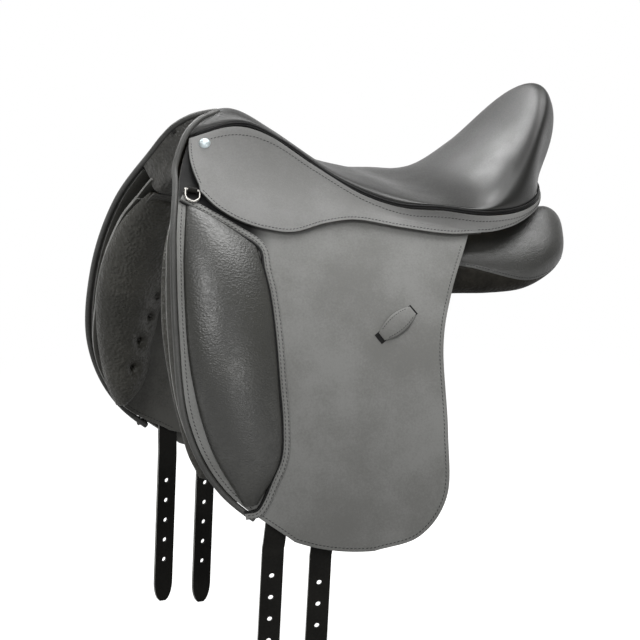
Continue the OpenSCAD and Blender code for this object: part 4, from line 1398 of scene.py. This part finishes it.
panel = laid_grid("near_panel_cushion", 110, 130, panel_point)
coated(panel, panel_hide, strip_hide)
spread_out = panel.data.uv_layers[0].data
for face in panel.data.polygons:
    share = 1 - sum(spread_out[i].uv.y for i in face.loop_indices) / len(face.loop_indices)
    if share > SEAM_ROW:
        face.material_index = 1
alone(panel)
bpy.ops.object.mode_set(mode="EDIT")
bpy.ops.mesh.select_all(action="SELECT")
bpy.ops.mesh.remove_doubles(threshold=WELD * MM)
bpy.ops.mesh.select_all(action="DESELECT")
bpy.ops.mesh.select_non_manifold()
bpy.ops.mesh.edge_face_add()
bpy.ops.mesh.select_all(action="SELECT")
bpy.ops.mesh.normals_make_consistent(inside=False)
bpy.ops.object.mode_set(mode="OBJECT")
settle_both(panel, "frame", ["panel"])


def facing_half(t, w):
    """The pommel's front and lining, t from the fold line to the middle, w from the binding inwards."""
    rise = pommel_line(t) + FACING_IN
    runs = []
    for x in FACING_RUNS:
        p = wrap(x, mix(*FACING_REACH, min(t / FACING_SIDE, 1.0)), FACING_OUT)
        if t > FACING_SIDE:
            ridge = Vector((p.x, 0, p.z - p.y * FACING_RIDGE))
            p = mix(p, ridge, (t - FACING_SIDE) / (1 - FACING_SIDE))
        runs.append(p)
    return curve([rise, mix(rise, runs[0], 0.5)] + runs, w)


def facing_point(across, down):
    t = 1 - abs(1 - 2 * down)
    p = facing_half(t, across)
    return p if down >= 0.5 else off_side(p)


facing = cut_sheet(
    "pommel_facing_leather", 44, 60, facing_point, facing_hide, facing_hide, FACING_THICK, 0.6,
)
settle(facing, "frame", ["pommel_facing"])


def pocket_point(across, down):
    front = mix(*POCKET_FRONT, down)
    return wrap(mix(front, POCKET_REAR, across), mix(*POCKET_REACH, down), FACING_OUT)


pocket = cut_sheet(
    "near_pocket_leather", 24, 14, pocket_point, facing_hide, facing_hide, FACING_THICK, 0.6,
)
settle_both(pocket, "frame", ["point_pocket"])


def lining_point(across, down):
    s = curve(PANEL_STATIONS[1:-1], mix(*LINING_SPAN, across))
    p = wrap(s[0], s[1] - s[2] - LINING_OVER, PANEL_MIDDLE)
    return Vector((p.x, -p.y * (1 - 2 * down), p.z + LINING_ARCH * math.sin(math.pi * down)))


lining = cut_sheet(
    "channel_lining_leather", 40, 16, lining_point, facing_hide, cut_edge, LINING_THICK, 0.4,
)
settle(lining, "frame", ["channel_lining"])


# Girth straps


def strap_tail_axes(which):
    """The hinge of a strap's free end, and its directions across, down and out."""
    at = wrap(STRAP_BOTTOM_X[which], STRAP_END, STRAP_OUT - STRAP_THICK / 2)
    turn = Matrix.Rotation(-SIDE_TOE, 3, "Z") @ Matrix.Rotation(STRAP_LEAN, 3, "Y")
    return at, turn @ Vector((1, 0, 0)), turn @ Vector((0, 0, -1)), turn @ Vector((0, -1, 0))


def strap_surface(which, across, run):
    """The strap's outer face: run is the distance from its upper end, across from -0.5 to 0.5."""
    upper = STRAP_LOW - STRAP_TOP
    if run < upper:
        t = run / upper
        c = Vector((
            mix(STRAP_TOP_X[which], STRAP_BOTTOM_X[which], t), mix(STRAP_TOP, STRAP_LOW, t),
        ))
        p = c + level_step(c.y) * across * STRAP_WIDTH
        return wrap(p.x, p.y, STRAP_OUT)
    at, side, down, out = strap_tail_axes(which)
    left = run - upper - (STRAP_END - STRAP_LOW)
    point = max(left - (TAIL_LENGTH - TIP_LENGTH), 0) / TIP_LENGTH
    wide = STRAP_WIDTH * math.sqrt(max(1 - TIP_CUT * point ** TIP_ROUND, 0.0))
    return at + side * across * wide + down * max(left, 0) + out * STRAP_THICK / 2


for which in ("front", "rear"):

    def strap_point(across, down, which=which):
        return strap_surface(which, across - 0.5, down * STRAP_WHOLE)

    strap = cut_sheet(
        f"near_{which}_strap_leather", 8, 150, strap_point,
        strap_hide, cut_edge, STRAP_THICK, 0.8,
    )
    at, side, down, out = strap_tail_axes(which)
    for i in range(HOLE_COUNT):
        punch = started(
            bpy.ops.mesh.primitive_cylinder_add, vertices=24, radius=HOLE_DIAMETER / 2 * MM, depth=20 * MM,
        )
        middle = at + down * (HOLE_FIRST + i * HOLE_PITCH)
        turn = Matrix((side, out.cross(side), out)).transposed()
        for point in punch.data.vertices:
            point.co = middle * MM + turn @ point.co
        cut_out(strap, punch)
    smoothed(strap, CREASE_ANGLE)
    settle_both(
        strap, f"{which}_strap_body", [f"{which}_strap", f"{which}_strap_end"],
        bend=(at - down * STRAP_BEND, at + down * STRAP_BEND),
    )


# Rows of thread


def side_row(path, lift):
    """Places and normals on the near side along x and d pairs."""
    row = []
    for p in path:
        at, _, _, out = side_axes(p.x, p.y, lift)
        row.append((at, out))
    return row


def inset(path, by):
    """A path of x and d pairs moved sideways, to the left as it runs with d down."""
    moved = []
    for i, p in enumerate(path):
        ahead = path[min(i + 1, len(path) - 1)] - path[max(i - 1, 0)]
        moved.append(p + Vector((ahead.y, -ahead.x)).normalized() * by)
    return moved


flap_outline = [curve(FLAP_FRONT, mix(0.02, 1, i / 90)) for i in range(91)]
flap_outline += [
    side_place(FLAP_FRONT, FLAP_REAR, i / 30, 1, FLAP_SAG) for i in range(1, 30)
]
flap_outline += [curve(FLAP_REAR, 1 - i / 100 * 0.96) for i in range(101)]
flap_row = side_row(inset(flap_outline, FLAP_THREAD), FLAP_OUT + THREAD_LIFT)
flap_rows = stitch_row("near_flap_thread", [flap_row], black_thread)
settle_both(flap_rows, "flap_body")

band_rows = []
for across in BAND_THREAD:
    row = []
    for i in range(161):
        share = mix(0.01, 0.99, i / 160)
        at = band_point(share, across, BAND_LIFT + BAND_RISE)
        row.append((at, band_point(share, across, BAND_LIFT + BAND_RISE + 1) - at))
    band_rows.append(row)
band_thread = stitch_row("near_band_thread", band_rows, black_thread)
settle_both(band_thread, "flap_body")

keeper_rows = []
for rim in KEEPER_THREAD:
    row = []
    for i in range(41):
        across = mix(0.1, 0.9, i / 40)
        at = keeper_point(across, rim)
        row.append((at, keeper_point(across, rim, 1) - at))
    keeper_rows.append(row)
keeper_thread = stitch_row(
    "near_keeper_thread", keeper_rows, black_thread, pitch=3.2, length=2.4, width=0.8,
)
settle_both(keeper_thread, "flap_body")

seam_row = []
for i in range(121):
    across = mix(0.45, 0.97, i / 120)
    at = panel_point(across, SEAM_THREAD)
    lie = panel_point(across, SEAM_THREAD - 0.02) - at
    run = panel_point(across + 0.01, SEAM_THREAD) - at
    seam_row.append((at, run.cross(lie)))
seam_thread = stitch_row("near_panel_thread", [seam_row], black_thread, pitch=3.6, length=2.8)
settle_both(seam_thread, "frame")

sweat_line = inset([curve(SWEAT_FRONT, i / 80) for i in range(81)], SWEAT_THREAD)
sweat_row = []
for p in sweat_line:
    sweat_row += side_row([p], SWEAT_OUT - SWEAT_THICK - THREAD_LIFT - sweat_tuck(p.x, p.y))
sweat_thread = stitch_row("near_sweat_thread", [sweat_row], black_thread)
settle_both(sweat_thread, "frame")


def skirt_normal(s, t):
    step = 0.004
    along = skirt_upper(min(s + step, 1), t) - skirt_upper(max(s - step, 0), t)
    down = skirt_upper(s, min(t + 0.05, 1)) - skirt_upper(s, max(t - 0.05, 0))
    return down.cross(along).normalized()


def skirt_spot(s, t):
    """A stitch's place on the skirt, and the way out of it."""
    out = skirt_normal(s, t)
    return skirt_upper(s, t) + out * THREAD_LIFT, out


welt_row = []
tail_row = []
for i in range(221):
    s = mix(0.03, 0.995, i / 220)
    reach = (curve(SKIRT_FOOT, s) - curve(SKIRT_TOP, s)).length
    welt_row.append(skirt_spot(s, min(mix(*WELT_THREAD, smooth(0.0, 0.4, s)) / reach, 0.5)))
    if s > LOBE_COLUMNS / SKIRT_COLUMNS - 0.01:
        tail_row.append(skirt_spot(s, 1 - TAIL_THREAD / reach))
front_row = [skirt_spot(0.0045, mix(0.12, 0.98, i / 30)) for i in range(31)]
skirt_rows = stitch_row(
    "near_skirt_thread", [welt_row, tail_row, front_row], black_thread, pitch=4.0, length=3.0,
)
settle_both(skirt_rows, "frame")

lobe_line = [curve(LOBE_LOW, i / 160) for i in range(158)]
lobe_row = side_row(inset(lobe_line, LOBE_THREAD), SKIRT_OUT + THREAD_LIFT)
lobe_rows = stitch_row("near_lobe_thread", [lobe_row], black_thread, pitch=4.0, length=3.0)
settle_both(lobe_rows, "skirt_body")


# Floor, light and camera

FLOOR_NEAR = 0.35
FLOOR_FAR = 1.4
FLOOR_GAP = 0.002
floor_level = cad_box[0][2] - FLOOR_GAP
floor = started(bpy.ops.mesh.primitive_plane_add, size=24, location=(0, 0, floor_level))
floor.name = "studio_floor"

studio = Finish("studio_white")
studio.shade("Base Color", tone(0.3))
studio.shade("Roughness", 0.9)
glow = studio.node("ShaderNodeEmission", {"Color": tone(1.0), "Strength": 0.9})
lit = studio.node("ShaderNodeAddShader", {0: studio.shader.outputs[0], 1: glow.outputs[0]})
plain = studio.node("ShaderNodeEmission", {"Color": tone(1.0), "Strength": 1.0})
radius = studio.node("ShaderNodeVectorMath", {0: studio.place}, operation="LENGTH")
far = studio.ranged(radius.outputs["Value"], FLOOR_NEAR, FLOOR_FAR)
seen = studio.node("ShaderNodeMixShader", {"Fac": far, 1: lit.outputs[0], 2: plain.outputs[0]})
shown = studio.node(
    "ShaderNodeMixShader",
    {"Fac": studio.background_rays(far), 1: studio.shader.outputs[0], 2: seen.outputs[0]},
)
studio.feed(studio.output.inputs["Surface"], shown.outputs[0])
coated(floor, studio.material)

# White behind the object for what is seen and mirrored, a dim studio round the camera
world = bpy.data.worlds.new("studio")
bpy.context.scene.world = world
world.use_nodes = True
sky = Nodes(world.node_tree)
directions = sky.node("ShaderNodeTexCoord").outputs["Generated"]
towards = sky.node("ShaderNodeSeparateXYZ", {0: directions})
behind = sky.ranged(towards.outputs["Y"], -0.1, 0.35)
below = sky.ranged(towards.outputs["Z"], 0.15, 0.45, 1.0, 0.0)
soft = sky.node("ShaderNodeBackground", {"Color": tone(1.0), "Strength": 0.22})
white = sky.node("ShaderNodeBackground", {"Color": tone(1.0), "Strength": 1.0})
picked = sky.node(
    "ShaderNodeMixShader",
    {0: sky.background_rays(behind * below), 1: soft.outputs[0], 2: white.outputs[0]},
)
sky.node("ShaderNodeOutputWorld", {0: picked.outputs[0]})


def lamp(name, at, aim, width, height, power):
    light = bpy.data.lights.new(name, "AREA")
    light.shape = "RECTANGLE"
    light.size = width
    light.size_y = height
    light.energy = power
    made = bpy.data.objects.new(name, light)
    bpy.context.collection.objects.link(made)
    made.location = at
    made.rotation_euler = (Vector(aim) - Vector(at)).to_track_quat("-Z", "Y").to_euler()
    return made


lamp("key_softbox", (-1.5, -1.8, 2.0), (0, 0, -0.05), 1.4, 1.2, 40)
lamp("front_softbox", (0.35, -2.5, 0.55), (0, 0, -0.1), 1.2, 0.5, 12)
lamp("rear_softbox", (-0.7, 1.65, 1.65), (0.1, 0, 0.1), 1.6, 0.5, 40)
lamp("crown_softbox", (0.1, 0.85, 2.1), (-0.1, 0, 0.1), 0.8, 0.4, 11)
lamp("top_softbox", (0.8, 0.1, 2.2), (0, 0, 0), 2.0, 2.0, 60)

AIM = Vector((-30, 0, -70)) * MM
BACK = Vector((-0.3470, -0.9038, 0.2504))
DISTANCE = 3.3
FRAME_PIXELS = 640
SHIFT_PIXELS = 10
camera = bpy.data.cameras.new("camera")
camera.lens = 161.5
camera.sensor_width = 36
camera.shift_y = SHIFT_PIXELS / FRAME_PIXELS
viewer = bpy.data.objects.new("camera", camera)
bpy.context.collection.objects.link(viewer)
viewer.location = AIM + BACK * DISTANCE
viewer.rotation_euler = (AIM - viewer.location).to_track_quat("-Z", "Y").to_euler()
bpy.context.scene.camera = viewer

bpy.context.scene.view_settings.view_transform = "Standard"
